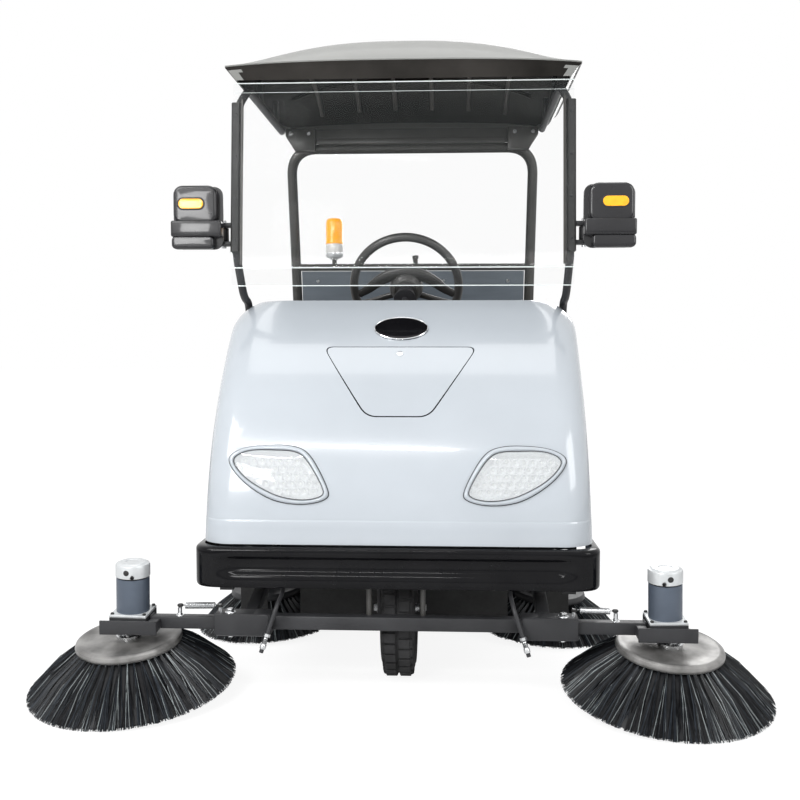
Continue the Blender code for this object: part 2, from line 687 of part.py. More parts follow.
def make_cab():
    """Windscreen, front posts with their mirror arms, rear hoop with its panel, roof and beacon."""
    low, top = 1.168, 1.796
    pane = [(glass_y(low) - 0.002, low), (glass_y(top) - 0.002, top), (glass_y(top) + 0.002, top),
            (glass_y(low) + 0.002, low)]
    node("windscreen", [plate(pane, -0.522, 0.522, "X")], CLEAR)

    def post():
        x = POST_X
        route = [(x, -0.175, FLOOR_TOP_Z + GAP), (x, -0.175, 1.126), (x, -0.260, 1.142), (x, -0.368, 1.270),
                 (x, -0.328, 1.725), (ROOF_RAIL_X, -0.300, ROOF_RAIL_Z), (ROOF_RAIL_X, 0.327, ROOF_RAIL_Z)]
        bar = tube(route, POST_R, 1, 0.04, 2)
        lugs = [box((x, -0.372, z), (0.568, -0.332, z + 0.013), 0.003, 1) for z in (1.296, 1.353)]
        pin = cylinder((MIRROR_PIVOT[0], MIRROR_PIVOT[1], 1.290),
                       (MIRROR_PIVOT[0], MIRROR_PIVOT[1], 1.372), 0.008, 12)
        saddles = [box((ROOF_RAIL_X - 0.008, y, ROOF_RAIL_Z), (ROOF_RAIL_X + 0.008, y + 0.040, 1.866))
                   for y in (-0.120, 0.180)]
        return [union([bar, *lugs, pin, *saddles])]

    def mirror_head():
        shell = box((MIRROR_X - 0.0775, -0.425, MIRROR_Z - 0.096),
                    (MIRROR_X + 0.0775, -0.380, MIRROR_Z + 0.096),
                    0.014, 2)
        stalk = box((0.566, -0.400, 1.314), (0.590, -0.335, 1.348), 0.003, 1)
        knuckle = turned([(0.016, 0.020), (0.016, -0.020), (0.0083, -0.020), (0.0083, 0.020)],
                         (MIRROR_PIVOT[0], MIRROR_PIVOT[1], 1.331), (0, 0, 1), 16)
        return [shell, stalk, knuckle]

    for name, side in SIDES:
        node("front_post_" + name, sided(post, side), FRAME_PAINT)

    (foot_y, foot_z), (bar_y, bar_z) = HOOP_LOW, HOOP_TOP
    hoop = tube([(-HOOP_HALF_LOW, foot_y, foot_z), (-HOOP_HALF_TOP, bar_y, bar_z),
                 (HOOP_HALF_TOP, bar_y, bar_z),
                 (HOOP_HALF_LOW, foot_y, foot_z)], HOOP_R, 2, 0.10, 4)
    lean = (bar_y - foot_y) / (bar_z - foot_z)
    rail_y = foot_y + lean * (MID_RAIL_Z - foot_z)
    rail = cylinder((-0.454, rail_y, MID_RAIL_Z), (0.454, rail_y, MID_RAIL_Z), 0.014, 12)
    roof_plate = box((-0.350, 0.330, bar_z + 0.010), (0.350, 0.460, bar_z + 0.030))
    brackets = pair(lambda: box((0.360, 0.3275, 1.715), (0.500, 0.372, 1.797)))
    stub = cylinder((0.012, rail_y, MID_RAIL_Z), (0.012, rail_y, MID_RAIL_Z + 0.045), 0.012, 12)
    stem = cylinder((-0.304, rail_y, MID_RAIL_Z), (-0.304, rail_y, MID_RAIL_Z + 0.030), 0.009, 12)
    feet = pair(lambda: box((HOOP_HALF_LOW - 0.040, foot_y - 0.033, DECK_Z + GAP),
                            (HOOP_HALF_LOW + 0.040, foot_y + 0.035, DECK_Z + 0.009)))
    node("rear_hoop", [hoop, rail, stub, stem, *brackets, roof_plate, *feet], FRAME_PAINT)

    ends = [(foot_y + lean * (z - foot_z), z) for z in (DECK_Z + 0.012, MID_RAIL_Z - 0.0150)]
    panel = [(ends[0][0] - 0.003, ends[0][1]), (ends[1][0] - 0.003, ends[1][1]),
             (ends[1][0] + 0.003, ends[1][1]), (ends[0][0] + 0.003, ends[0][1])]
    node("rear_panel", [plate(panel, -0.4320, 0.4320, "X")], PANEL_PAINT)

    base_z = MID_RAIL_Z + 0.030 + GAP
    base = turned([(0.0, 0.060), (0.032, 0.060), (0.034, 0.052), (0.034, 0.010), (0.028, 0.002), (0.016, 0.0),
                   (0.0, 0.0)], (-0.304, rail_y, base_z), (0, 0, 1), 20)
    node("beacon_base", [base], CLEAR)
    dome = turned([(0.0, 0.160), (0.020, 0.158), (0.031, 0.150), (0.034, 0.140), (0.034, 0.0604),
                   (0.0, 0.0604)],
                  (-0.304, rail_y, base_z), (0, 0, 1), 20)
    node("beacon_dome", [dome], AMBER)

    for name, side in SIDES:
        node("mirror_" + name, sided(mirror_head, side), BLACK_PLASTIC,
             (side * MIRROR_PIVOT[0], MIRROR_PIVOT[1], MIRROR_Z))


def roof_height(x, y):
    """Height of the roof's outer skin: a shallow dome, fuller in the middle."""
    across = max(0.0, 1.0 - abs(x / ROOF_HALF) ** 2.6)
    middle = (ROOF_FRONT_Y + ROOF_BACK_Y) / 2
    along = max(0.0, 1.0 - abs((y - middle) / (ROOF_BACK_Y - middle)) ** 2.8)
    return ROOF_EDGE_Z + (ROOF_CROWN_Z - ROOF_EDGE_Z) * (across * (0.06 + 0.94 * along)) ** 0.8


def make_roof():
    """One moulded shell: a dome on a grid with its edge turned down into a skirt."""
    columns, rows = 5, 8
    bm = bmesh.new()
    grid = []
    for j in range(rows + 1):
        y = ROOF_FRONT_Y + (ROOF_BACK_Y - ROOF_FRONT_Y) * j / rows
        half = ROOF_HALF - 0.06 * max(0.0, (j / rows - 0.75) / 0.25) ** 2
        line = []
        for i in range(columns + 1):
            x = half * math.sin(math.radians(90) * i / columns)
            line.append(bm.verts.new((x, y, roof_height(x * ROOF_HALF / half, y))))
        grid.append(line)
    for lower, upper in zip(grid, grid[1:]):
        for i in range(columns):
            bm.faces.new((lower[i], lower[i + 1], upper[i + 1], upper[i]))
    edge = grid[0] + [line[-1] for line in grid[1:]] + list(reversed(grid[-1][:-1]))
    skirt = []
    for vert in edge:
        inward = Vector((-0.03 * vert.co.x / ROOF_HALF, 0.02 if vert.co.y < 0 else -0.02, 0.0))
        skirt.append(bm.verts.new(vert.co + inward + Vector((0, 0, ROOF_EDGE_Z - ROOF_SKIRT - vert.co.z))))
    for a, b, c, d in zip(edge, edge[1:], skirt[1:], skirt):
        bm.faces.new((b, a, d, c))
    for vert in bm.verts:
        if vert.co.x < 0.0005:
            vert.co.x = 0.0
    bmesh.ops.recalc_face_normals(bm, faces=bm.faces)
    mesh = bpy.data.meshes.new("roof")
    bm.to_mesh(mesh)
    bm.free()
    obj = to_object("roof", mesh)
    mirror = obj.modifiers.new("mirror", "MIRROR")
    mirror.merge_threshold = 0.00005
    solid = obj.modifiers.new("wall", "SOLIDIFY")
    solid.thickness = 0.005
    solid.offset = -1.0
    node("roof_canopy", [bake(obj)], ROOF_PAINT)


def make_seat():
    """Seat pan on its slide, cushion and backrest; slides forward on the seat box."""
    pan = box((-0.215, 0.080, DECK_Z + 0.012), (0.215, 0.452, DECK_Z + 0.024), 0.003, 1)
    runners = [box((x - 0.018, 0.200, DECK_Z + GAP), (x + 0.018, 0.420, DECK_Z + 0.014)) for x in (-0.15,
                                                                                                   0.15)]
    back = plate([(0.440, DECK_Z + 0.018), (0.452, DECK_Z + 0.018), (0.452, 0.900), (0.432, 1.080),
                  (0.424, 1.080),
                  (0.440, 0.900)], -0.150, 0.150, "X")
    handle = tube([(0.08, 0.110, DECK_Z + 0.018), (0.08, 0.055, DECK_Z + 0.008),
                   (0.16, 0.045, DECK_Z + 0.008)],
                  0.006, 1, 0.02, 2)
    node("seat_slide", [pan, *runners, back, handle], FRAME_PAINT)
    node("seat_cushion",
         [box((-0.235, 0.060, DECK_Z + 0.0246), (0.235, 0.425, DECK_Z + 0.125), 0.030, 3)], VINYL)
    rest = box((-0.225, 0.355, 0.940), (0.225, 0.422, 1.145), 0.028, 3)
    node("seat_backrest", [rest], VINYL)


def make_rear():
    """Rear body with wheel arches, dust bin, filter cover, battery, tail lamps."""
    wall = 0.006
    body = box((-BODY_HALF, SEAT_BOX_Y, 0.100), (BODY_HALF, REAR_Y, DECK_Z), 0.030, 3)
    body = cut(body, box((-1.0, -1.0, 0.0), (1.0, 1.5, BODY_LOW_Z)))
    inside = box((-BODY_HALF + wall, SEAT_BOX_Y + wall, 0.100),
                 (BODY_HALF - wall, REAR_Y - wall, DECK_Z - wall),
                 0.030 - wall, 3)
    doorway = box((-0.440, REAR_Y - 0.050, 0.4700), (0.440, REAR_Y + 0.050, 0.778))
    arch = cylinder((-1.0, REAR_AXLE_Y, WHEEL_R), (1.0, REAR_AXLE_Y, WHEEL_R), 0.236, 28)
    hatch = box((-0.420, 0.640, DECK_Z - 0.050), (0.420, REAR_Y - 0.055, DECK_Z + 0.050))
    motor_slot = box((-0.30, REAR_Y - 0.050, 0.100), (0.30, REAR_Y + 0.050, 0.330))
    rail_slot = box((-0.395, 0.100, 0.0), (0.395, 0.200, RAIL_TOP_Z + 0.003))
    node("rear_body", [cut(body, inside, doorway, arch, hatch, motor_slot, rail_slot)], HOOD_PAINT)

    bin_box = box((-0.430, 0.640, 0.4740), (0.430, REAR_Y - 0.010, 0.760))
    hollow = box((-0.425, 0.645, 0.479), (0.425, REAR_Y - 0.015, 0.900))
    tray = cut(bin_box, hollow)
    collar = box((-0.428, REAR_Y - 0.012, 0.477), (0.428, REAR_Y + 0.003, 0.757))
    face = box((-0.455, REAR_Y + 0.0006, 0.462), (0.455, REAR_Y + 0.010, 0.785), 0.003, 1)
    handle = tube([(-0.12, REAR_Y + 0.006, 0.660), (-0.12, REAR_Y + 0.036, 0.660),
                   (0.12, REAR_Y + 0.036, 0.660),
                   (0.12, REAR_Y + 0.006, 0.660)], 0.007, 2, 0.015, 3)
    node("dust_bin", [tray, collar, face, handle], BLACK_PLASTIC)

    top_z = 1.150
    outline = [(0.602, 0.700), (0.602, top_z), (0.800, top_z), (REAR_Y - 0.020, 1.040),
               (REAR_Y - 0.010, 0.700)]
    outer = plate(outline, -0.500, 0.500, "X", bevel=0.020)
    inner = plate([(0.608, 0.650), (0.608, top_z - 0.006), (0.796, top_z - 0.006), (REAR_Y - 0.028, 1.036),
                   (REAR_Y - 0.016, 0.650)], -0.494, 0.494, "X")
    outer = cut(outer, box((-0.6, 0.5, 0.6), (0.6, 1.1, DECK_Z + GAP)))
    node("filter_cover", [cut(outer, inner)], HOOD_PAINT, (0.0, REAR_Y - 0.012, DECK_Z + 0.006))

    case = box((-0.330, 0.225, RAIL_TOP_Z + GAP), (0.330, 0.565, 0.740), 0.006, 1)
    posts = [cylinder((x, 0.300, 0.735), (x, 0.300, 0.762), 0.010, 12) for x in (-0.22, 0.22)]
    node("battery_pack", [case, *posts], BLACK_PLASTIC)
    for name, side in SIDES:
        lamp = box((side * 0.490 - 0.028, REAR_Y + GAP, 0.560),
                   (side * 0.490 + 0.028, REAR_Y + 0.018, 0.700), 0.006, 2)
        node("tail_lamp_" + name, [lamp], RED)


def brush_axis(tilt_out, tilt_forward):
    """Upward axis of a left-hand brush."""
    return Vector((math.sin(tilt_out), -math.sin(tilt_forward), 1.0)).normalized()


def brush_solid(centre, axis, disc_r, ring_r, drop, hub):
    """Disc with a turned-down rim, hub, and the flared skirt of bristles below it."""
    rim = disc_r - 0.012
    profile = [(0.0, hub), (0.030, hub), (0.030, 0.010), (rim, 0.010), (disc_r, 0.000), (disc_r, -0.022),
               (disc_r - 0.004, -0.022), (ring_r * 0.86, -drop * 0.72), (ring_r, -drop), (ring_r * 0.60,
                                                                                          -drop),
               (ring_r * 0.42, -0.020), (0.0, -0.012)]
    return turned(profile, centre, axis, 22)


def make_brushes():
    """Front and rear side brushes on their arms, with their gear motors."""
    axis = brush_axis(BRUSH_TILT_OUT, BRUSH_TILT_FORWARD)
    disc = Vector((BRUSH_X, BRUSH_Y, BRUSH_DISC_Z))
    motor_axis = brush_axis(MOTOR_TILT_OUT, MOTOR_TILT_FORWARD)
    motor_seat = Vector((MOTOR_X, BRUSH_Y, BRUSH_DISC_Z))

    def front_brush():
        return [brush_solid(disc, axis, BRUSH_DISC_R, BRUSH_RING_R, BRUSH_DROP, 0.038)]

    def front_arm():
        bar = box((ARM_PIVOT_X, ARM_Y - 0.017, CROSS_Z - 0.017), (0.682, ARM_Y + 0.017, CROSS_Z + 0.017))
        nose = cylinder((ARM_PIVOT_X, ARM_Y, CROSS_Z - 0.016), (ARM_PIVOT_X, ARM_Y, CROSS_Z + 0.016),
                        0.0165, 16)
        shelf = box((-0.085, -0.066, 0.0430), (0.060, 0.058, 0.0490))
        shelf.data.transform(frame_to(motor_seat, motor_axis))
        flange = box((0.652, -0.7920, 0.196), (0.812, -0.7865, 0.236))
        web = box((0.653, -0.7900, 0.206), (0.680, -0.720, 0.234))
        lug = cylinder((0.602, ARM_Y, CROSS_Z), (0.602, ARM_Y, 0.262), 0.006, 10)
        return [cut(union([bar, nose, web, shelf, flange, lug]),
                    cylinder((ARM_PIVOT_X, ARM_Y, 0.1), (ARM_PIVOT_X, ARM_Y, 0.4), 0.0085, 12))]

    def front_motor():
        gear = box((-0.052, -0.052, 0.0494), (0.052, 0.052, 0.085), 0.003, 1)
        gear.data.transform(frame_to(motor_seat, motor_axis))
        body = turned([(0.0, 0.225), (0.036, 0.225), (0.047, 0.219), (0.0475, 0.186), (0.0455, 0.184),
                       (0.0455, 0.083), (0.0, 0.083)], motor_seat, motor_axis, 24)
        return [gear, body]

    def return_spring():
        start = Vector((0.497, ARM_Y, 0.266))
        end = Vector((0.594, ARM_Y, 0.266))
        return [cylinder(start, end, 0.0095, 12)]

    rear_axis = brush_axis(REAR_BRUSH_TILT, REAR_BRUSH_TILT)
    rear_disc = Vector((REAR_BRUSH_X, REAR_BRUSH_Y, REAR_BRUSH_DISC_Z))

    def rear_brush():
        return [brush_solid(rear_disc, rear_axis, REAR_BRUSH_DISC_R, REAR_BRUSH_RING_R, REAR_BRUSH_DROP,
                            0.036)]

    def rear_arm():
        shelf = box((-0.092, -0.050, 0.0370), (0.055, 0.050, 0.0430))
        shelf.data.transform(frame_to(rear_disc, rear_axis))
        motor = turned([(0.0, 0.190), (0.034, 0.190), (0.044, 0.184), (0.044, 0.090), (0.052, 0.088),
                        (0.052, 0.040),
                        (0.0, 0.040)], rear_disc, rear_axis, 20)
        strut = plate([(REAR_PIVOT_Y - 0.016, REAR_PIVOT_Z - 0.010),
                       (REAR_PIVOT_Y - 0.010, REAR_PIVOT_Z + 0.016),
                       (REAR_PIVOT_Y + 0.016, REAR_PIVOT_Z + 0.014), (-0.020, 0.200), (0.0, 0.200), (0.0,
                                                                                                     0.174),
                       (-0.050, 0.174)], 0.394, 0.426, "X")
        whole = union([strut, shelf, motor])
        eye = cylinder((0.3, REAR_PIVOT_Y, REAR_PIVOT_Z), (0.5, REAR_PIVOT_Y, REAR_PIVOT_Z), 0.0085, 12)
        return [cut(whole, eye)]

    for name, side in SIDES:
        mirrored = Vector((side, 1.0, 1.0))
        node("side_brush_" + name, sided(front_brush, side), BRISTLE, disc * mirrored)
        node("brush_arm_" + name, sided(front_arm, side), FRAME_PAINT, (side * ARM_PIVOT_X, ARM_Y, CROSS_Z))
        node("brush_motor_" + name, sided(front_motor, side), MOTOR_GREY, disc * mirrored)
        node("return_spring_" + name, sided(return_spring, side), ZINC)
        node("rear_side_brush_" + name, sided(rear_brush, side), BRISTLE, rear_disc * mirrored)
        node("rear_brush_arm_" + name, sided(rear_arm, side), FRAME_PAINT,
             (side * FRAME_ARM_X, REAR_PIVOT_Y, REAR_PIVOT_Z))


def make_brush_frame():
    """Lift frame of the front brushes: cross tube, pivot sleeves, guide rods and two arms to the hinge."""
    half = CROSS_SIZE / 2
    cross = box((-0.400, CROSS_Y - half, CROSS_Z - half), (0.400, CROSS_Y + half, CROSS_Z + half))

    def sleeve():
        low, high = CROSS_Z - 0.030, CROSS_Z + 0.030
        top = box((0.345, -0.768, CROSS_Z + 0.0175), (0.500, -0.700, high - 0.002))
        bottom = box((0.345, -0.768, low + 0.002), (0.500, -0.700, CROSS_Z - 0.0175))
        web = box((0.347, -0.770, low), (0.497, -0.7645, high))
        end = box((0.343, -0.766, low + 0.001), (0.392, -0.702, high - 0.001))
        pin = cylinder((ARM_PIVOT_X, ARM_Y, low - 0.012), (ARM_PIVOT_X, ARM_Y, high + 0.008), 0.008, 12)
        peg = cylinder((0.488, ARM_Y, CROSS_Z + 0.02), (0.488, ARM_Y, 0.272), 0.005, 10)
        rod = cylinder((0.075, -0.710, CROSS_Z), (0.075, -0.710, 0.350), 0.0075, 12)
        return [union([top, end, bottom, web, pin, peg])], rod

    def arm():
        outline = [(-0.710, CROSS_Z + 0.020), (-0.710, CROSS_Z - 0.014),
                   (FRAME_PIVOT_Y - 0.004, FRAME_PIVOT_Z - 0.020),
                   (FRAME_PIVOT_Y + 0.020, FRAME_PIVOT_Z - 0.012), (FRAME_PIVOT_Y + 0.020,
                                                                    FRAME_PIVOT_Z + 0.016),
                   (FRAME_PIVOT_Y - 0.010, FRAME_PIVOT_Z + 0.018)]
        bar = plate(outline, FRAME_ARM_X - 0.017, FRAME_ARM_X + 0.017, "X")
        eye = cylinder((FRAME_ARM_X - 0.05, FRAME_PIVOT_Y, FRAME_PIVOT_Z),
                       (FRAME_ARM_X + 0.05, FRAME_PIVOT_Y, FRAME_PIVOT_Z),
                       0.0095, 12)
        return cut(bar, eye)

    left_sleeve, left_rod = sleeve()
    pieces = [cross, left_rod, mirror_x(left_rod), left_sleeve[0], mirror_x(left_sleeve[0])]
    pieces += pair(arm)
    node("brush_frame", pieces, FRAME_PAINT, (0.0, FRAME_PIVOT_Y, FRAME_PIVOT_Z))

    drop = [(0.362, -0.804, 0.158), (0.322, -0.782, 0.280), (0.316, -0.710, 0.304), (0.312, -0.710, 0.402)]
    route = [(-x, y, z) for x, y, z in drop] + list(reversed(drop))
    pipe = tube(route, 0.006, 1, 0.02, 2)
    node("spray_bar", [pipe], ZINC)


def make_roller():
    """Main roller brush under its cover."""
    outer = box((-0.366, ROLLER_Y - 0.165, 0.090), (0.366, ROLLER_Y + 0.165, 0.330))
    inner = box((-0.354, ROLLER_Y - 0.160, 0.0), (0.354, ROLLER_Y + 0.160, 0.324))
    bore = cylinder((-0.5, ROLLER_Y, ROLLER_Z), (0.5, ROLLER_Y, ROLLER_Z), 0.0155, 16)
    hangers = pair(lambda: box((0.340, ROLLER_Y - 0.06, 0.326), (0.364, ROLLER_Y + 0.06, RAIL_LOW_Z - GAP)))
    curtain = box((-0.310, ROLLER_Y - 0.171, 0.014), (0.310, ROLLER_Y - 0.1625, 0.300))
    node("roller_cover", [cut(union([outer, *hangers, curtain]), inner, bore)], FRAME_PAINT)
    roll = cylinder((-ROLLER_HALF, ROLLER_Y, ROLLER_Z), (ROLLER_HALF, ROLLER_Y, ROLLER_Z), ROLLER_R, 32)
    shaft = cylinder((-0.364, ROLLER_Y, ROLLER_Z), (0.364, ROLLER_Y, ROLLER_Z), 0.015, 16)
    node("main_roller_brush", [roll, shaft], BRISTLE, (0.0, ROLLER_Y, ROLLER_Z))


make_front()
make_bumper()
make_dashboard()
make_steering()
make_wheels()
make_chassis()
make_cab()
make_roof()
make_seat()
make_rear()
make_brushes()
make_brush_frame()
make_roller()
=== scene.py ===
"""Looks of the ride-on sweeper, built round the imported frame. Metres, front at -Y, driver's left at +X."""
import math
import random

import bmesh
import bpy
from mathutils import Matrix, Vector


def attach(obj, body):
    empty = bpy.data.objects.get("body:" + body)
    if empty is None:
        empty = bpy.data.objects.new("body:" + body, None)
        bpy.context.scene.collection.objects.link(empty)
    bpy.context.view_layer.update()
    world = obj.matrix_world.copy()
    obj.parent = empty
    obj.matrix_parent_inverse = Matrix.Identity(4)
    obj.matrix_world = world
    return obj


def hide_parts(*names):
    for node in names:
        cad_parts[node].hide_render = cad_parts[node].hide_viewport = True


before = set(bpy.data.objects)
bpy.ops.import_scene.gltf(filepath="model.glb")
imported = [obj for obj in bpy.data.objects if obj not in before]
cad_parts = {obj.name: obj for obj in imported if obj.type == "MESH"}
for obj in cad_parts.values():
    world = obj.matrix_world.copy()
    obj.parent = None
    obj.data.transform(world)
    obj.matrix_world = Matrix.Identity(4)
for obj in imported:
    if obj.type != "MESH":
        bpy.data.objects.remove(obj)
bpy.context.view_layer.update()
RNG = random.Random(11)

# ---------------------------------------------------------------- dimensions shared with the frame
BODY_HALF, REAR_Y, DECK_Z = 0.535, 0.934, 0.8
HOOD_FRONT_Y, HOOD_BACK_Y = -0.73, -0.2
HOOD_LOW_Z, HOOD_TOP_Z = 0.44, 1.13
HOOD_SLOPE, HOOD_POWER = 1.04, 2.3
HOOD_CORNER, HOOD_SHOULDER = 0.09, 0.1
WHEEL_R, WHEEL_W = 0.2, 0.1
FRONT_AXLE_Y, REAR_AXLE_Y, REAR_TRACK_HALF = -0.48, 0.66, 0.46
POST_X, ROOF_RAIL_X, ROOF_RAIL_Z = 0.5125, 0.485, 1.785
PANE_HALF = 0.5215
REST_GAP = 0.0004                                 # air between a piece and the deck it rests on
ROOF_HALF, ROOF_FRONT_Y, ROOF_BACK_Y = 0.541, -0.38, 0.52
ROOF_EDGE_Z, ROOF_CROWN_Z, ROOF_SKIRT = 1.84, 1.987, 0.04
HOOP_LOW, HOOP_TOP = (0.555, DECK_Z + 0.005), (0.372, 1.729)
MID_RAIL_Z = 1.288
STEER_CENTRE = Vector((0.0, -0.07, 1.186))
STEER_AXIS = Vector((0.0, math.cos(math.radians(28)), math.sin(math.radians(28))))
STEER_R = 0.176
BRUSH = Vector((0.752, -0.72, 0.165))
MOTOR_AT = Vector((0.74, -0.72, 0.165))
REAR_BRUSH = Vector((0.49, -0.01, 0.135))
CROSS_Y, CROSS_Z, ARM_Y = -0.72, 0.222, -0.735
FRAME_PIVOT = (-0.26, 0.33)
ROLLER = Vector((0.0, 0.38, 0.1425))
SIDES = (("right", True), ("left", False))       # the driver's right is drawn mirrored, at -X


# ---------------------------------------------------------------- materials
def shade(name, colour, rough, metal=0.0, coat=0.0, vary=0.12, scale=6.0, grain=0.0, grain_scale=400.0,
          stretch=(1, 1, 1), rough_vary=0.12, alpha=1.0, specular=0.5, sheen=0.0, lit=None):
    """A Principled material: two scales of colour mottle, uneven roughness and a fine bump."""
    mat = bpy.data.materials.new(name)
    mat.use_nodes = True
    tree = mat.node_tree
    bsdf = tree.nodes["Principled BSDF"]
    link, new = tree.links.new, tree.nodes.new
    for socket, value in (("Metallic", metal), ("Coat Weight", coat), ("Coat Roughness", 0.06),
            ("Alpha", alpha), ("Specular IOR Level", specular), ("Sheen Weight", sheen)):
        bsdf.inputs[socket].default_value = value
    if lit:
        bsdf.inputs["Emission Color"].default_value = (*lit[0], 1.0)
        bsdf.inputs["Emission Strength"].default_value = lit[1]
    coords = new("ShaderNodeTexCoord")
    spread = new("ShaderNodeMapping")
    spread.inputs["Scale"].default_value = stretch
    link(coords.outputs["Object"], spread.inputs["Vector"])
    cloud = new("ShaderNodeTexNoise")
    cloud.inputs["Scale"].default_value = scale
    cloud.inputs["Detail"].default_value = 6.0
    link(spread.outputs["Vector"], cloud.inputs["Vector"])
    ramp = new("ShaderNodeValToRGB")
    dark = tuple(c * (1 - vary) for c in colour)
    pale = tuple(min(1.0, c * (1 + vary) + 0.02 * vary) for c in colour)
    ramp.color_ramp.elements[0].position, ramp.color_ramp.elements[0].color = 0.32, (*dark, 1)
    ramp.color_ramp.elements[1].position, ramp.color_ramp.elements[1].color = 0.68, (*pale, 1)
    link(cloud.outputs["Fac"], ramp.inputs["Fac"])
    link(ramp.outputs["Color"], bsdf.inputs["Base Color"])
    spots = new("ShaderNodeTexNoise")
    spots.inputs["Scale"].default_value = scale * 5.0
    spots.inputs["Detail"].default_value = 4.0
    link(spread.outputs["Vector"], spots.inputs["Vector"])
    gloss = new("ShaderNodeMapRange")
    gloss.inputs["To Min"].default_value = max(0.01, rough * (1 - rough_vary * 2))
    gloss.inputs["To Max"].default_value = min(1.0, rough * (1 + rough_vary * 2))
    link(spots.outputs["Fac"], gloss.inputs["Value"])
    link(gloss.outputs["Result"], bsdf.inputs["Roughness"])
    if grain:
        pebble = new("ShaderNodeTexNoise")
        pebble.inputs["Scale"].default_value = grain_scale
        pebble.inputs["Detail"].default_value = 3.0
        link(spread.outputs["Vector"], pebble.inputs["Vector"])
        bump = new("ShaderNodeBump")
        bump.inputs["Strength"].default_value = grain
        bump.inputs["Distance"].default_value = 0.001
        link(pebble.outputs["Fac"], bump.inputs["Height"])
        link(bump.outputs["Normal"], bsdf.inputs["Normal"])
    return mat


BODY = shade("body_gelcoat", (0.465, 0.503, 0.543), 0.2, coat=0.6, vary=0.035, scale=3, grain=0.05,
    grain_scale=60)
PANEL = shade("panel_paint", (0.12, 0.142, 0.165), 0.38, vary=0.1, scale=5, stretch=(1, 1, 6), grain=0.04)
ROOF = shade("roof_gelcoat", (0.235, 0.238, 0.228), 0.42, coat=0.12, specular=0.3, vary=0.07, scale=3,
    grain=0.05, grain_scale=50)
LINER = shade("roof_liner", (0.017, 0.015, 0.013), 0.46, specular=0.12, vary=0.45, scale=4, grain=0.06,
    grain_scale=60)
RIB = shade("roof_rib", (0.06, 0.054, 0.048), 0.4, specular=0.3, vary=0.3, scale=7)
FRAME = shade("frame_powder_coat", (0.026, 0.0265, 0.029), 0.42, specular=0.35, vary=0.22, scale=9,
    grain=0.18, grain_scale=700)
STEEL_GREY = shade("grey_painted_tube", (0.05, 0.049, 0.046), 0.35, specular=0.4, vary=0.12, scale=12,
    grain=0.06)
GLOSS = shade("gloss_black", (0.003, 0.003, 0.004), 0.1, coat=0.05, vary=0.15, scale=8, specular=0.14)
PLASTIC = shade("grained_plastic", (0.018, 0.018, 0.02), 0.48, specular=0.35, vary=0.14, scale=14, grain=0.35,
    grain_scale=900)
RUBBER = shade("seal_rubber", (0.012, 0.012, 0.012), 0.6, vary=0.2, scale=20, grain=0.12)
TYRE = shade("tyre_rubber", (0.024, 0.024, 0.025), 0.78, specular=0.3, vary=0.35, scale=14, grain=0.3,
    grain_scale=350)
ZINC = shade("zinc_plate", (0.66, 0.67, 0.68), 0.28, 1.0, vary=0.12, scale=24, grain=0.06)
CHROME = shade("bright_chrome", (0.86, 0.87, 0.88), 0.07, 1.0, vary=0.04, scale=10)
CAP = shade("cast_motor_cap", (0.62, 0.64, 0.65), 0.34, 0.35, vary=0.08, scale=30, grain=0.25,
    grain_scale=500)
MOTOR = shade("motor_body_paint", (0.09, 0.112, 0.148), 0.4, 0.2, vary=0.12, scale=10, grain=0.08)
DISC = shade("worn_brush_disc", (0.25, 0.245, 0.238), 0.38, 0.6, vary=0.45, scale=13, grain=0.14,
    grain_scale=260)
RIM = shade("wheel_rim_paint", (0.42, 0.43, 0.43), 0.36, 0.2, vary=0.1, scale=16, grain=0.05)
AMBER = shade("amber_lens", (1.0, 0.46, 0.01), 0.14, coat=0.4, vary=0.1, scale=60, alpha=0.92,
    lit=((1.0, 0.36, 0.005), 0.32))
CLEAR = shade("clear_lens", (0.9, 0.93, 0.94), 0.04, vary=0.02, scale=40, alpha=0.22, specular=0.7)
FROST = shade("white_lens", (0.86, 0.86, 0.84), 0.2, coat=0.3, vary=0.05, scale=60, alpha=0.9)
PANE = shade("windscreen_pane", (0.22, 0.24, 0.24), 0.03, vary=0.05, scale=2, alpha=0.03, specular=0.6)
EDGE = shade("polished_pane_edge", (0.8, 0.86, 0.85), 0.12, vary=0.05, scale=8, alpha=0.85)
RED = shade("red_lens", (0.55, 0.012, 0.01), 0.14, coat=0.5, vary=0.1, scale=60)
YELLOW = shade("yellow_collar", (0.8, 0.5, 0.02), 0.35, vary=0.08, scale=40)
VINYL = shade("seat_vinyl", (0.022, 0.022, 0.024), 0.46, vary=0.16, scale=10, grain=0.5, grain_scale=520,
    sheen=0.08)
THREAD = shade("seat_thread", (0.16, 0.16, 0.17), 0.7, vary=0.15, scale=200)
HAIR_DARK = shade("bristle_black", (0.006, 0.0065, 0.008), 0.42, specular=0.22, vary=0.25, scale=60)
HAIR_BLUE = shade("bristle_blue_black", (0.02, 0.026, 0.034), 0.4, specular=0.22, vary=0.25, scale=60)
HAIR_PALE = shade("bristle_dusty", (0.21, 0.235, 0.24), 0.46, vary=0.3, scale=60)
HOUSING = shade("mirror_housing", (0.012, 0.012, 0.014), 0.3, coat=0.55, specular=0.3, vary=0.1, scale=12,
    grain=0.05)
MIRROR = shade("mirror_glass", (0.92, 0.93, 0.94), 0.02, 1.0, vary=0.01)
LAMP_WHITE = shade("lamp_reflector", (0.66, 0.68, 0.7), 0.22, 0.3, coat=0.3, vary=0.1, scale=90,
    lit=((1.0, 1.0, 1.0), 0.11))


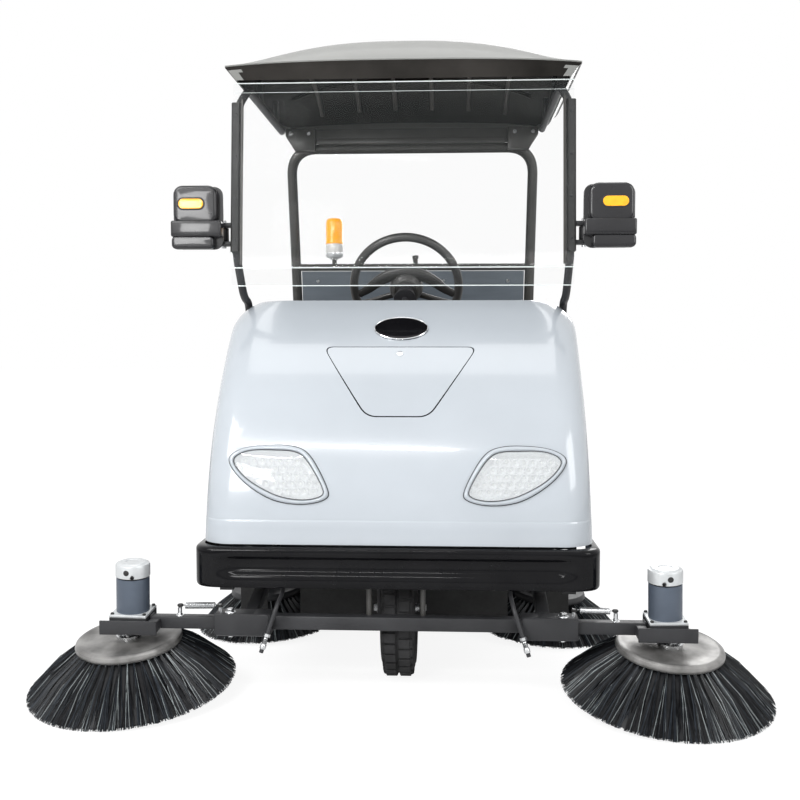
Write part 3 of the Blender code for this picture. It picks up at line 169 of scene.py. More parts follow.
# ---------------------------------------------------------------- mesh helpers
def frame_to(location, direction=(0, 0, 1)):
    """Matrix taking local +Z to a direction at a location, with local X kept level."""
    up = Vector(direction).normalized()
    side = Vector((0, 1, 0)) if abs(up.x) > 0.9 else Vector((1, 0, 0))
    across = (side - up * side.dot(up)).normalized()
    return Matrix.Translation(Vector(location)) @ Matrix((across, up.cross(across), up)).transposed().to_4x4()


def box(low, high, bevel=0.002, segments=2, turn=None):
    """A box with rounded edges; turn is a matrix applied to it."""
    low, high = Vector(low), Vector(high)
    bm = bmesh.new()
    place = Matrix.Translation((low + high) / 2) @ Matrix.Diagonal((*(high - low), 1.0))
    bmesh.ops.create_cube(bm, size=1.0, matrix=place)
    if bevel:
        bmesh.ops.bevel(bm, geom=bm.edges[:], offset=bevel, segments=segments, profile=0.5, affect="EDGES")
    if turn is not None:
        bm.transform(turn)
    return bm


def lathe(profile, at=(0, 0, 0), up=(0, 0, 1), segments=32):
    """A profile of (radius, height) points turned about an axis."""
    bm = bmesh.new()
    place = frame_to(at, up)
    rings = []
    for radius, height in profile:
        count = segments if radius > 1e-6 else 1
        turn = [math.tau * k / segments for k in range(count)]
        rings.append([bm.verts.new(place @ Vector((radius * math.cos(a), radius * math.sin(a), height)))
                      for a in turn])
    for a, b in zip(rings, rings[1:]):
        for k in range(segments):
            j = (k + 1) % segments
            corners = ([a[0]] if len(a) == 1 else [a[k], a[j]]) + ([b[0]] if len(b) == 1 else [b[j], b[k]])
            if len(corners) > 2:
                bm.faces.new(corners)
    bmesh.ops.remove_doubles(bm, verts=bm.verts, dist=0.00001)
    bmesh.ops.recalc_face_normals(bm, faces=bm.faces)
    return bm


def rod(start, end, radius, segments=20, soft=0.0008):
    """A round bar with softened ends."""
    start, end = Vector(start), Vector(end)
    length = (end - start).length
    soft = min(soft, radius / 2, length / 3)
    return lathe([(0, 0), (radius - soft, 0), (radius, soft), (radius, length - soft),
        (radius - soft, length), (0, length)], start, end - start, segments)


def rounded(points, radius, steps=6):
    """A route whose inner corners are replaced by short curves."""
    points = [Vector(p) for p in points]
    path = [points[0]]
    for before, corner, after in zip(points, points[1:], points[2:]):
        reach = min(radius, 0.45 * (before - corner).length, 0.45 * (after - corner).length)
        a = corner + (before - corner).normalized() * reach
        b = corner + (after - corner).normalized() * reach
        path += [a * (1 - t) ** 2 + corner * 2 * t * (1 - t) + b * t ** 2 for t in (i / steps for i in
            range(steps + 1))]
    return path + [points[-1]]


def circle(radius, sides=14):
    return [(radius * math.cos(math.tau * i / sides), radius * math.sin(math.tau * i / sides))
            for i in range(sides)]


def rect(width, height, corner=0.003):
    """A section with cut corners."""
    w, h, c = width / 2, height / 2, corner
    return [(w, -h + c), (w, h - c), (w - c, h), (-w + c, h), (-w, h - c), (-w, -h + c), (-w + c, -h),
        (w - c, -h)]


def soft_rect(width, height, corner, steps=6):
    """A section with round corners."""
    loop = []
    for k, (sx, sz) in enumerate(((1, 1), (-1, 1), (-1, -1), (1, -1))):
        for i in range(steps + 1):
            a = math.radians(90) * (k + i / steps)
            loop.append((sx * (width / 2 - corner) + corner * math.cos(a), sz * (height / 2 - corner) + corner
                * math.sin(a)))
    return loop


def sweep(path, section, up=None, closed=False, size=None):
    """A closed section carried along a route; size(share) scales it on the way."""
    path = [Vector(p) for p in path]
    count = len(path)
    bm = bmesh.new()
    rings = []
    normal = None
    for i, here in enumerate(path):
        ahead = path[(i + 1) % count] if closed else path[min(i + 1, count - 1)]
        behind = path[i - 1] if closed else path[max(i - 1, 0)]
        along = (ahead - behind).normalized()
        if up is not None:
            lead = Vector(up)
        else:
            lead = normal or (Vector((0, 0, 1)) if abs(along.z) < 0.9 else Vector((0, 1, 0)))
        normal = (lead - along * lead.dot(along)).normalized()
        side = along.cross(normal)
        grow = size(i / max(count - 1, 1)) if size else 1.0
        rings.append([bm.verts.new(here + side * (u * grow) + normal * (v * grow)) for u, v in section])
    for i in range(count if closed else count - 1):
        a, b = rings[i], rings[(i + 1) % count]
        for j in range(len(section)):
            k = (j + 1) % len(section)
            bm.faces.new((a[j], a[k], b[k], b[j]))
    if not closed:
        bm.faces.new(list(reversed(rings[0])))
        bm.faces.new(rings[-1])
    bmesh.ops.recalc_face_normals(bm, faces=bm.faces)
    return bm


def tube(points, radius, corner=0.04, sides=16):
    return sweep(rounded(points, corner), circle(radius, sides))


def plate(outline, low, high, axis="X", bevel=0.0015):
    """A flat outline given a thickness along an axis, with softened edges."""
    bm = bmesh.new()
    put = {"X": lambda u, v, w: (w, u, v), "Y": lambda u, v, w: (u, w, v), "Z": lambda u, v,
        w: (u, v, w)}[axis]
    face = bm.faces.new([bm.verts.new(put(u, v, low)) for u, v in outline])
    raised = bmesh.ops.extrude_face_region(bm, geom=[face])["geom"]
    shift = Vector(put(0, 0, high - low))
    bmesh.ops.translate(bm, verts=[g for g in raised if isinstance(g, bmesh.types.BMVert)], vec=shift)
    bmesh.ops.recalc_face_normals(bm, faces=bm.faces)
    if bevel:
        edges = [e for e in bm.edges if e.calc_face_angle(0.0) > math.radians(30)]
        bmesh.ops.bevel(bm, geom=edges, offset=bevel, segments=2, profile=0.5, affect="EDGES",
            clamp_overlap=True)
    return bm


def bolt(at, up, radius=0.006, washer=True):
    """A hexagon head on its washer."""
    head = lathe([(0, radius), (radius * 0.8, radius), (radius, radius * 0.8), (radius, 0), (0, 0)], at, up,
        6)
    if washer:
        ring = lathe([(0, 0.0012), (radius * 1.45, 0.0012), (radius * 1.5, 0), (0, 0)], at, up, 20)
        return merge([head, ring])
    return head


def merge(bms):
    """Several loose shapes as one."""
    whole = bms[0]
    for bm in bms[1:]:
        mesh = bpy.data.meshes.new("part")
        bm.to_mesh(mesh)
        bm.free()
        whole.from_mesh(mesh)
        bpy.data.meshes.remove(mesh)
    return whole


def weld(start, end, radius=0.0032):
    """A rippled bead of weld."""
    start, end = Vector(start), Vector(end)
    count = max(6, int((end - start).length / 0.0022))
    path = [start + (end - start) * i / count for i in range(count + 1)]
    return sweep(path, circle(radius, 8), size=lambda t: 0.82 + 0.2 * abs(math.sin(t * count * 1.2)))


def use(bm, index):
    """Give a shape's faces another of its piece's materials."""
    for face in bm.faces:
        face.material_index = index
    return bm


def piece(name, body, looks, shapes, replaces=(), flip=False, angle=35, smooth=True):
    """One visible piece: its shapes in world space, riding on a body."""
    whole = merge(list(shapes))
    if flip:
        whole.transform(Matrix.Diagonal((-1, 1, 1, 1)))
        bmesh.ops.reverse_faces(whole, faces=whole.faces[:])
    mesh = bpy.data.meshes.new(name)
    whole.to_mesh(mesh)
    whole.free()
    if smooth:
        mesh.shade_smooth()
        mesh.set_sharp_from_angle(angle=math.radians(angle))
    for look in (looks if isinstance(looks, (list, tuple)) else [looks]):
        mesh.materials.append(look)
    obj = bpy.data.objects.new(name, mesh)
    bpy.context.scene.collection.objects.link(obj)
    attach(obj, body)
    if replaces:
        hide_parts(*([replaces] if isinstance(replaces, str) else replaces))
    return obj


def solid(bm, name="solid"):
    """A scratch object for Booleans."""
    mesh = bpy.data.meshes.new(name)
    bm.to_mesh(mesh)
    bm.free()
    obj = bpy.data.objects.new(name, mesh)
    bpy.context.scene.collection.objects.link(obj)
    return obj


def evaluated(obj):
    """The object's mesh with its modifiers applied, as a bmesh; the object is used up."""
    bpy.context.view_layer.update()
    graph = bpy.context.evaluated_depsgraph_get()
    mesh = bpy.data.meshes.new_from_object(obj.evaluated_get(graph))
    bm = bmesh.new()
    bm.from_mesh(mesh)
    bpy.data.meshes.remove(mesh)
    bpy.data.objects.remove(obj, do_unlink=True)
    return bm


def boolean(bm, cutters, operation="DIFFERENCE"):
    """A shape cut by, or kept inside, each of the others."""
    for cutter in cutters:
        obj, tool = solid(bm), solid(cutter)
        mod = obj.modifiers.new("cut", "BOOLEAN")
        mod.operation, mod.solver, mod.object = operation, "EXACT", tool
        bm = evaluated(obj)
        bpy.data.objects.remove(tool, do_unlink=True)
    return bm


def thicken(bm, wall, offset=-1.0):
    obj = solid(bm)
    mod = obj.modifiers.new("wall", "SOLIDIFY")
    mod.thickness, mod.offset, mod.use_even_offset = wall, offset, True
    return evaluated(obj)


def smooth_loop(points, steps=6):
    """A closed smooth outline through a few points (Catmull-Rom)."""
    count = len(points)
    loop = []
    for i in range(count):
        p0, p1, p2, p3 = (Vector(points[(i + k) % count]) for k in (-1, 0, 1, 2))
        for s in range(steps):
            t = s / steps
            loop.append(0.5 * (2 * p1 + (p2 - p0) * t + (2 * p0 - 5 * p1 + 4 * p2 - p3) * t ** 2
                               + (3 * p1 - p0 - 3 * p2 + p3) * t ** 3))
    return [(p.x, p.y) for p in loop]


def grown(outline, centre, grow):
    """An outline moved away from a centre by grow."""
    moved = []
    for u, v in outline:
        away = Vector((u - centre[0], v - centre[1]))
        away.length = max(0.0001, away.length + grow)
        moved.append((centre[0] + away.x, centre[1] + away.y))
    return moved


def grid_faces(bm, rows, close=False):
    """Quads between rows of places."""
    made = [[bm.verts.new(p) for p in row] for row in rows]
    for a, b in zip(made, made[1:]):
        for i in range(len(a) - (0 if close else 1)):
            j = (i + 1) % len(a)
            bm.faces.new((a[i], a[j], b[j], b[i]))
    return made


def keep(node, look):
    """A CAD node that stays, with a better material in its slots."""
    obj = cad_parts[node]
    for slot in obj.material_slots:
        slot.link = "OBJECT"
        slot.material = look


# ---------------------------------------------------------------- hood, lid, badge, lamps, bumper
def hood_face(z):
    crease = 0.0014 * min(max((0.508 - z) / 0.004, 0.0), 1.0)
    return HOOD_FRONT_Y + HOOD_SLOPE * max(z - HOOD_LOW_Z, 0.0) ** HOOD_POWER - crease


def hood_half(z):
    rise = min(max(z - (HOOD_TOP_Z - HOOD_SHOULDER), 0.0), HOOD_SHOULDER)
    flare = 0.014 * max(0.0, (0.95 - z) / 0.51) ** 1.6
    return BODY_HALF + flare - HOOD_SHOULDER + math.sqrt(HOOD_SHOULDER ** 2 - rise ** 2)


def hood_corner(z):
    return min(HOOD_CORNER, 0.8 * (HOOD_BACK_Y - hood_face(z)))


def on_hood(x, z, lift=0.0):
    """A place on the hood's front, lifted along its slope."""
    corner, half = hood_corner(z), hood_half(z)
    past = max(0.0, min(abs(x) - (half - corner), corner * 0.98))
    y = hood_face(z) + corner - math.sqrt(corner ** 2 - past ** 2)
    slope = HOOD_SLOPE * HOOD_POWER * max(z - HOOD_LOW_Z, 0.0) ** (HOOD_POWER - 1)
    out = Vector((0.0, -1.0, slope)).normalized()
    return Vector((x, y, z)) + out * lift


def hood_skin(wall):
    """The fine hood shell: rows of the plan outline, both halves, closed over the top."""
    start = HOOD_TOP_Z - HOOD_SHOULDER
    heights = [HOOD_LOW_Z + (start - HOOD_LOW_Z) * i / 26 for i in range(27)]
    heights = sorted(heights + [0.5035, 0.5045, 0.506, 0.5075, 0.5085])
    heights += [start + HOOD_SHOULDER * math.sin(math.radians(9 * i)) for i in range(1, 11)]
    rows = []
    for z in heights:
        half, front, corner = hood_half(z), hood_face(z), hood_corner(z)
        row = [((half - corner) * i / 14, front) for i in range(14)]
        for i in range(11):
            a = math.radians(9 * i)
            row.append((half - corner + corner * math.sin(a), front + corner - corner * math.cos(a)))
        side = row[-1][1]
        row += [(half, side + (HOOD_BACK_Y - side) * i / 4) for i in range(1, 5)]
        rows.append([(-x, y, z) for x, y in reversed(row[1:])] + [(x, y, z) for x, y in row])
    rows.append([(x, HOOD_BACK_Y, HOOD_TOP_Z) for x, y, z in rows[-1]])
    bm = bmesh.new()
    grid_faces(bm, rows)
    bmesh.ops.remove_doubles(bm, verts=bm.verts, dist=0.0002)
    bmesh.ops.recalc_face_normals(bm, faces=bm.faces)
    middle = min(bm.faces, key=lambda f: (f.calc_center_median() - Vector((0, -0.7, 0.6))).length)
    if middle.normal.y > 0:
        bmesh.ops.reverse_faces(bm, faces=bm.faces[:])
    return thicken(bm, wall)


LAMP = smooth_loop(((0.468, 0.668), (0.44, 0.697), (0.375, 0.709), (0.29, 0.707), (0.24, 0.68),
                    (0.192, 0.598), (0.196, 0.566), (0.262, 0.552), (0.345, 0.565), (0.425, 0.613)))
LAMP_MIDDLE = (0.33, 0.632)
LAMP_GLASS = grown(LAMP, (0.325, 0.638), -0.0145)
LID_TOP, LID_LOW = (0.228, 0.984), (0.088, 0.79)
BADGE_Z, BADGE_HALF = 1.038, (0.081, 0.034)


def lid_outline(grow):
    corners = [(-LID_TOP[0], LID_TOP[1]), (LID_TOP[0], LID_TOP[1]), (LID_LOW[0], LID_LOW[1]),
        (-LID_LOW[0], LID_LOW[1])]
    loop = []
    for i in range(4):
        before, corner, after = (Vector(corners[(i + k) % 4]) for k in (-1, 0, 1))
        a = corner + (before - corner).normalized() * 0.03
        b = corner + (after - corner).normalized() * 0.03
        loop += [tuple(a * (1 - t) ** 2 + corner * 2 * t * (1 - t) + b * t ** 2) for t in (s / 7 for s in
            range(8))]
    return grown(loop, (0.0, (LID_TOP[1] + LID_LOW[1]) / 2), grow)


def lofted(loops):
    """Closed rings of places joined into a skin."""
    bm = bmesh.new()
    grid_faces(bm, loops, close=True)
    bmesh.ops.recalc_face_normals(bm, faces=bm.faces)
    return bm


def make_front():
    cutters = [plate(lid_outline(0.003), -0.8, -0.3, "Y", 0)]
    for side in (1, -1):
        cutters.append(plate([(side * u, v) for u, v in grown(LAMP, LAMP_MIDDLE, -0.004)], -0.8, -0.55, "Y",
            0))
    piece("hood_shell", "chassis", BODY, [boolean(hood_skin(0.005), cutters)], "front_hood")

    lock_z = LID_TOP[1] - 0.02
    lock_at = on_hood(0.0, lock_z)
    out = (on_hood(0.0, lock_z, 1.0) - lock_at).normalized()
    lid = boolean(hood_skin(0.004), [plate(lid_outline(-0.0008), -0.8, -0.3, "Y", 0)], "INTERSECT")
    lid = boolean(lid, [rod(lock_at - out * 0.03, lock_at + out * 0.03, 0.0092)])
    piece("lid_skin", "storage_lid", BODY, [lid], "storage_lid")
    barrel = lathe([(0, 0.0012), (0.0062, 0.0012), (0.0068, 0.0022), (0.0086, 0.002), (0.0088, 0.0),
        (0.0085, -0.014), (0, -0.014)], lock_at, out, 32)
    slit = use(box((-0.0008, -0.0045, 0.0008), (0.0008, 0.0045, 0.0016), 0.0002, 1, frame_to(lock_at, out)),
        1)
    piece("lid_lock_barrel", "lid_lock", [CHROME, RUBBER], [barrel, slit], "lid_lock")
    seal = [on_hood(u, v, -0.0062) for u, v in lid_outline(-0.004)]
    piece("lid_seal", "chassis", RUBBER, [sweep(seal, circle(0.0025, 8), up=(0, -1, 0.3), closed=True)])

    turn = [math.tau * i / 64 for i in range(64)]

    def oval(grow, lift):
        return [on_hood((BADGE_HALF[0] + grow) * math.cos(a), BADGE_Z + (BADGE_HALF[1] + grow) * math.sin(a), lift)
            for a in turn]

    steps = [(0.0, 0.0008), (0.0, 0.004), (-0.0012, 0.005), (-0.006, 0.0054)]
    steps += [(-BADGE_HALF[1] * s / 8, 0.0054 + 0.0006 * s / 8) for s in range(2, 8)]
    plaque = lofted([oval(g, h) for g, h in steps])
    rim = use(lofted([oval(g, h) for g, h in ((0, 0.0008), (0.0, 0.0052), (-0.0012, 0.0064),
        (-0.0026, 0.0058), (-0.003, 0.004))]), 1)
    bmesh.ops.holes_fill(plaque, edges=[e for e in plaque.edges if e.is_boundary], sides=0)
    piece("badge_blank", "chassis", [GLOSS, CHROME], [plaque, rim], "badge_plate")

    for name, flip in SIDES:
        section = [(0.0, -0.006), (0.0, 0.002), (-0.001, 0.0062), (-0.003, 0.0092), (-0.0065, 0.0108),
            (-0.01, 0.0104), (-0.0125, 0.0078), (-0.014, 0.003), (-0.0148, -0.004)]
        lip = lofted([[on_hood(u, v, h) for u, v in grown(LAMP, LAMP_MIDDLE, g)] for g, h in section])
        well = lofted([[on_hood(u, v, h) for u, v in grown(LAMP_GLASS, LAMP_MIDDLE, g)]
                       for g, h in ((0.0004, 0.004), (-0.001, -0.012), (-0.006, -0.03), (-0.01, -0.034))])
        floor = lofted([[on_hood(u, v, -0.034) for u, v in grown(LAMP_GLASS, LAMP_MIDDLE, -g)]
                        for g in (0.008, 0.02, 0.035)])
        bmesh.ops.holes_fill(floor, edges=[e for e in floor.edges if e.is_boundary], sides=0)
        cups = []
        pitch = 0.0245
        inside = grown(LAMP_GLASS, LAMP_MIDDLE, -0.008)
        for row in range(-4, 5):
            for column in range(-8, 9):
                u = LAMP_MIDDLE[0] + pitch * (column + (row % 2) / 2)
                v = LAMP_MIDDLE[1] + pitch * 0.87 * row
                if not within((u, v), inside):
                    continue
                at = on_hood(u, v, -0.03)
                cups.append(lathe([(0.0035, 0.0), (0.0062, 0.003), (0.0086, 0.0075), (0.0104, 0.013),
                    (0.0116, 0.013), (0.0118, 0.0)], at, (0, -1, 0), 20))
                cups.append(use(lathe([(0, 0.0052), (0.0018, 0.0048), (0.0032, 0.003), (0.0034, 0)], at,
                    (0, -1, 0), 12), 1))
        # Painted shade: two thin dark loops drawn in seal rubber, one round the lip's outer edge and one round the
        # glass, where shadow falls along the raised lip.
        shade_lines = [use(sweep([on_hood(u, v, lift) for u, v in loop], circle(fine, 8), up=(0, -1, 0.3),
            closed=True), 1) for loop, lift, fine in ((grown(LAMP, LAMP_MIDDLE, 0.001), 0.0006, 0.0012),
            (LAMP_GLASS, 0.0062, 0.0011))]
        piece("lamp_lip_" + name, "chassis", [BODY, RUBBER], [lip, *shade_lines], flip=flip)
        piece("lamp_cluster_" + name, "chassis", [LAMP_WHITE, FROST], [well, floor, *cups],
            "headlight_" + name, flip=flip)
        rings = [[on_hood(u, v, 0.0045 + 0.0035 * (1 - (1 - s / 9) ** 2)) for u,
            v in [(LAMP_MIDDLE[0] + (p - LAMP_MIDDLE[0]) * (1 - s / 10),
            LAMP_MIDDLE[1] + (q - LAMP_MIDDLE[1]) * (1 - s / 10)) for p, q in LAMP_GLASS]] for s in range(10)]
        cover = lofted(rings)
        heart = on_hood(*LAMP_MIDDLE, 0.008)
        inner = [e for e in cover.edges if e.is_boundary and (e.verts[0].co - heart).length < 0.03]
        bmesh.ops.holes_fill(cover, edges=inner, sides=0)
        piece("lamp_cover_" + name, "chassis", CLEAR, [thicken(cover, 0.0015)], "headlight_lens_" + name,
            flip=flip)


def within(point, outline):
    """Whether a point lies inside a closed outline."""
    inside = False
    x, y = point
    for (x1, y1), (x2, y2) in zip(outline, outline[1:] + outline[:1]):
        if (y1 > y) != (y2 > y) and x < (x2 - x1) * (y - y1) / (y2 - y1) + x1:
            inside = not inside
    return inside


def make_bumper():
    """Two glossy rolls with a channel between them, wrapped round the corners."""
    low, top, front, half = 0.32, 0.435, -0.75, 0.564
    section = [(0.02, 0, 0.015), (0.01, 0, 0), (0.003, 0, 0.02), (0.0006, 0, 0.06), (0, 0, 0.12), (0, 0, 0.2),
        (0, 0.001, 0.27), (0, 0.004, 0.33), (0, 0.009, 0.38), (0, 0.0125, 0.42), (0, 0.0135, 0.47),
        (0, 0.0135, 0.66), (0, 0.012, 0.7), (0, 0.007, 0.735), (0, 0.002, 0.765), (0, 0, 0.8), (0, 0, 0.9),
        (0.001, 0, 0.94), (0.004, 0, 0.972), (0.01, 0, 0.992), (0.02, 0, 1.0)]
    rows = []
    for inset, sunk, share in section:
        radius, wide, ahead = 0.06, half - inset, front + inset
        row = [(-wide, -0.42), (-wide, -0.5), (-wide, -0.6)]
        for i in range(13):
            a = math.radians(90) * i / 12
            row.append((-wide + radius - radius * math.cos(a), ahead + radius - radius * math.sin(a)))
        for i in range(1, 25):
            x = (-wide + radius) * (1 - i / 24)
            fade = min(max((0.485 + x) / 0.03, 0.0), 1.0)
            row.append((x, ahead + sunk * fade * fade * (3 - 2 * fade)))
        row += [(-x, y) for x, y in reversed(row[:-1])]
        rows.append([(x, y, low + share * (top - low)) for x, y in row])
    bm = bmesh.new()
    grid_faces(bm, rows)
    bmesh.ops.remove_doubles(bm, verts=bm.verts, dist=0.00005)
    bmesh.ops.recalc_face_normals(bm, faces=bm.faces)
    middle = min(bm.faces, key=lambda f: (f.calc_center_median() - Vector((0, front, 0.34))).length)
    if middle.normal.y > 0:
        bmesh.ops.reverse_faces(bm, faces=bm.faces[:])
    piece("bumper_moulding", "chassis", GLOSS, [thicken(bm, 0.004)], "bumper")


# ---------------------------------------------------------------- cab
def glass_y(z):
    return -0.4 + 0.055 * (z - 1.168) / 0.632


def hoop_y(z):
    return HOOP_LOW[0] + (HOOP_TOP[0] - HOOP_LOW[0]) * (z - HOOP_LOW[1]) / (HOOP_TOP[1] - HOOP_LOW[1])


def make_cab():
    low, top = 1.168, 1.796
    pane = [(glass_y(low) - 0.0019, low), (glass_y(top) - 0.0019, top), (glass_y(top) + 0.0019, top),
            (glass_y(low) + 0.0019, low)]
    piece("windscreen_pane", "chassis", PANE, [plate(pane, -PANE_HALF, PANE_HALF, "X", 0.0008)], "windscreen")
    strips = []
    for z, tall in ((low + 0.0025, 0.0028), (1.2255, 0.0032), (top - 0.003, 0.0034), (top - 0.032, 0.0012)):
        y = glass_y(z) - 0.0024
        strips.append(box((-PANE_HALF, y - 0.0006, z - tall / 2), (PANE_HALF, y + 0.0004, z + tall / 2), 0.0003, 1))
    piece("windscreen_edges", "chassis", EDGE, strips)

    for name, flip in SIDES:
        x = POST_X
        route = [(x, -0.175, 0.478), (x, -0.175, 1.126), (x, -0.26, 1.142), (x, -0.368, 1.27),
            (x, -0.328, 1.725), (ROOF_RAIL_X, -0.3, ROOF_RAIL_Z), (ROOF_RAIL_X, 0.327, ROOF_RAIL_Z)]
        post = tube(route, 0.0125, 0.04, 20)
        lugs = [box((x, -0.372, z), (0.568, -0.332, z + 0.013), 0.002) for z in (1.296, 1.353)]
        pin = rod((0.556, -0.345, 1.29), (0.556, -0.345, 1.372), 0.008)
        nut = bolt((0.556, -0.345, 1.3665), (0, 0, 1), 0.009)
        saddles = [box((ROOF_RAIL_X - 0.008, y, ROOF_RAIL_Z), (ROOF_RAIL_X + 0.008, y + 0.04, 1.864), 0.002)
                   for y in (-0.12, 0.18)]
        piece("screen_post_" + name, "chassis", [FRAME, ZINC], [post, *lugs, use(pin, 1), use(nut, 1),
            *saddles], "front_post_" + name, flip=flip)
        clamp_low, clamp_top = Vector((x + 0.001, -0.37, 1.275)), Vector((x + 0.001, -0.33, 1.735))
        clamp = sweep([clamp_low + (clamp_top - clamp_low) * i / 10 for i in range(11)],
            rect(0.029, 0.034, 0.005), up=(0, 1, 0))
        screws = [use(lathe([(0, 0.0022), (0.0035, 0.0018), (0.0048, 0.0)],
            clamp_low + (clamp_top - clamp_low) * t + Vector((0, -0.0172, 0)), (0, -1, 0), 16), 2)
            for t in (0.08, 0.36, 0.64, 0.92)]
        lead = sweep([(x - 0.021, glass_y(z) - 0.0062, z) for z in (1.235, 1.4, 1.6, 1.742)],
            rect(0.007, 0.008, 0.0015))
        piece("pane_clamp_" + name, "chassis", [RUBBER, STEEL_GREY, FRAME], [clamp, *screws, use(lead, 1)],
            flip=flip)

    foot_y, foot_z = HOOP_LOW
    bar_y, bar_z = HOOP_TOP
    route = [(-0.452, foot_y, foot_z), (-0.46, bar_y, bar_z), (0.46, bar_y, bar_z), (0.452, foot_y, foot_z)]
    hoop = sweep(rounded(route, 0.1, 14), circle(0.0163, 24))
    inner = [(-0.435, foot_y - 0.002, foot_z + 0.02), (-0.443, bar_y - 0.002, bar_z - 0.0165),
             (0.443, bar_y - 0.002, bar_z - 0.0165), (0.435, foot_y - 0.002, foot_z + 0.02)]
    strip = use(sweep(rounded(inner, 0.086, 14), circle(0.0045, 10)), 1)
    rail_y = hoop_y(MID_RAIL_Z)
    rail = rod((-0.45, rail_y, MID_RAIL_Z), (0.45, rail_y, MID_RAIL_Z), 0.0138, 24)
    stub = lathe([(0, 0.045), (0.0105, 0.045), (0.012, 0.0435), (0.012, 0.034), (0.0095, 0.03), (0.0095, 0.0),
        (0, 0.0)], (0.012, rail_y, MID_RAIL_Z), segments=24)
    stem = rod((-0.304, rail_y, MID_RAIL_Z), (-0.304, rail_y, MID_RAIL_Z + 0.03), 0.0088)
    head = box((-0.35, 0.33, bar_z + 0.01), (0.35, 0.46, bar_z + 0.03), 0.002)
    extras = [box((-0.365, 0.344, 1.742), (0.365, 0.35, 1.796), 0.001)]
    for s in (-1, 1):
        wing = [(0.36, 1.715), (0.438, 1.715), (0.45, 1.735), (0.472, 1.768), (0.472, 1.797), (0.36, 1.797)]
        extras.append(plate([(s * u, v) for u, v in wing], 0.3275, 0.372, "Y", 0.003))
        extras.append(box((s * 0.452 - 0.04, foot_y - 0.033, DECK_Z + REST_GAP),
            (s * 0.452 + 0.04, foot_y + 0.035, DECK_Z + 0.009)))
        for dy in (-0.022, 0.024):
            for dx in (-0.03, 0.03):
                extras.append(use(bolt((s * 0.452 + dx, foot_y + dy, DECK_Z + 0.009), (0, 0, 1), 0.0055), 2))
        extras.append(use(bolt((s * 0.452, 0.3275, 1.778), (0, -1, 0), 0.005), 2))
        extras.append(use(bolt((s * 0.385, 0.3275, 1.778), (0, -1, 0), 0.005), 2))
        extras.append(weld((s * 0.433, rail_y - 0.014, MID_RAIL_Z - 0.008),
            (s * 0.433, rail_y - 0.014, MID_RAIL_Z + 0.01)))
    piece("roof_hoop", "chassis", [STEEL_GREY, RUBBER, ZINC], [hoop, strip, rail, stub, stem, head, *extras],
        "rear_hoop")
    keep("rear_panel", PANEL)
    studs = [bolt((x, hoop_y(z) - 0.0031, z), (0, -1, -0.2), 0.0045) for z in (0.86, 1.235)
        for x in (-0.37, -0.12, 0.12, 0.37)]
    studs += [bolt((x, hoop_y(z) + 0.0031, z), (0, 1, 0.2), 0.0045) for z in (1.1, 1.235)
        for x in (-0.37, -0.12, 0.12, 0.37)]
    piece("panel_bolts", "chassis", ZINC, studs)

    at = (-0.304, rail_y, MID_RAIL_Z + 0.0304)
    base = lathe([(0, 0.0), (0.015, 0.0), (0.0165, 0.004), (0.027, 0.006), (0.0325, 0.012), (0.0338, 0.018),
        (0.0338, 0.0235)], at, segments=48)
    clear = use(lathe([(0.0333, 0.0235), (0.0333, 0.058), (0.0325, 0.0598), (0, 0.0598)], at, segments=48), 1)
    ring = use(lathe([(0.0335, 0.0215), (0.034, 0.0222), (0.034, 0.0252), (0.0335, 0.0258)], at, segments=48),
        2)
    piece("beacon_foot", "chassis", [CAP, FROST, CHROME], [base, clear, ring], "beacon_base")
    dome = [(0.0335, 0.0604), (0.0339, 0.062), (0.0339, 0.066), (0.033, 0.068), (0.033, 0.14), (0.0312, 0.15),
            (0.026, 0.1565), (0.016, 0.1592), (0, 0.16)]
    ribs = [lathe([(0.033, z), (0.0338, z + 0.001), (0.033, z + 0.002)], at, segments=48) for z in
            (0.078 + 0.008 * k for k in range(8))]
    core = use(lathe([(0, 0.15), (0.014, 0.148), (0.017, 0.14), (0.017, 0.064), (0, 0.064)], at, segments=24),
        1)
    piece("beacon_lens", "chassis", [AMBER, FROST], [lathe(dome, at, segments=48), *ribs, core],
        "beacon_dome")

    for name, flip in SIDES:
        cx, cz = 0.625, 1.378

        def pillow(x, z, size, low, high, soft):
            bm = plate([(x + u, z + v) for u, v in soft_rect(*size)], low, high, "Y", 0)
            edges = [e for e in bm.edges if e.calc_face_angle(0.0) > math.radians(40)]
            bmesh.ops.bevel(bm, geom=edges, offset=soft, segments=5, profile=0.5, affect="EDGES",
                clamp_overlap=True)
            return bm

        shell = [pillow(cx + 0.003, 1.416, (0.134, 0.116, 0.028), -0.4215, -0.383, 0.01),
                 pillow(cx + 0.0118, 1.3025, (0.13, 0.0405, 0.014), -0.4195, -0.383, 0.008),
                 box((cx - 0.0772, -0.4248, 1.319), (cx + 0.0772, -0.3815, 1.368), 0.006, 4),
                 pillow(cx, cz, (0.154, 0.191, 0.028), -0.387, -0.3803, 0.0014),
                 use(pillow(cx + 0.014, 1.418, (0.086, 0.039, 0.019), -0.4226, -0.418, 0.0012), 3)]
        stalk = use(box((0.566, -0.4, 1.314), (0.59, -0.335, 1.348), 0.004, 3), 3)
        knuckle = use(lathe([(0.0085, 0.02), (0.015, 0.02), (0.016, 0.018), (0.016, -0.018), (0.015, -0.02),
                             (0.0085, -0.02), (0.0085, 0.02)], (0.556, -0.345, 1.331), segments=32), 3)
        lamp = use(pillow(cx + 0.014, 1.418, (0.076, 0.03, 0.0145), -0.4249, -0.42, 0.0012), 1)
        glass = use(pillow(cx, cz, (0.14, 0.176, 0.024), -0.3806, -0.3801, 0), 2)
        piece("mirror_head_" + name, "mirror_" + name, [HOUSING, AMBER, MIRROR, PLASTIC],
              [*shell, stalk, knuckle, lamp, glass], "mirror_" + name, flip=flip)


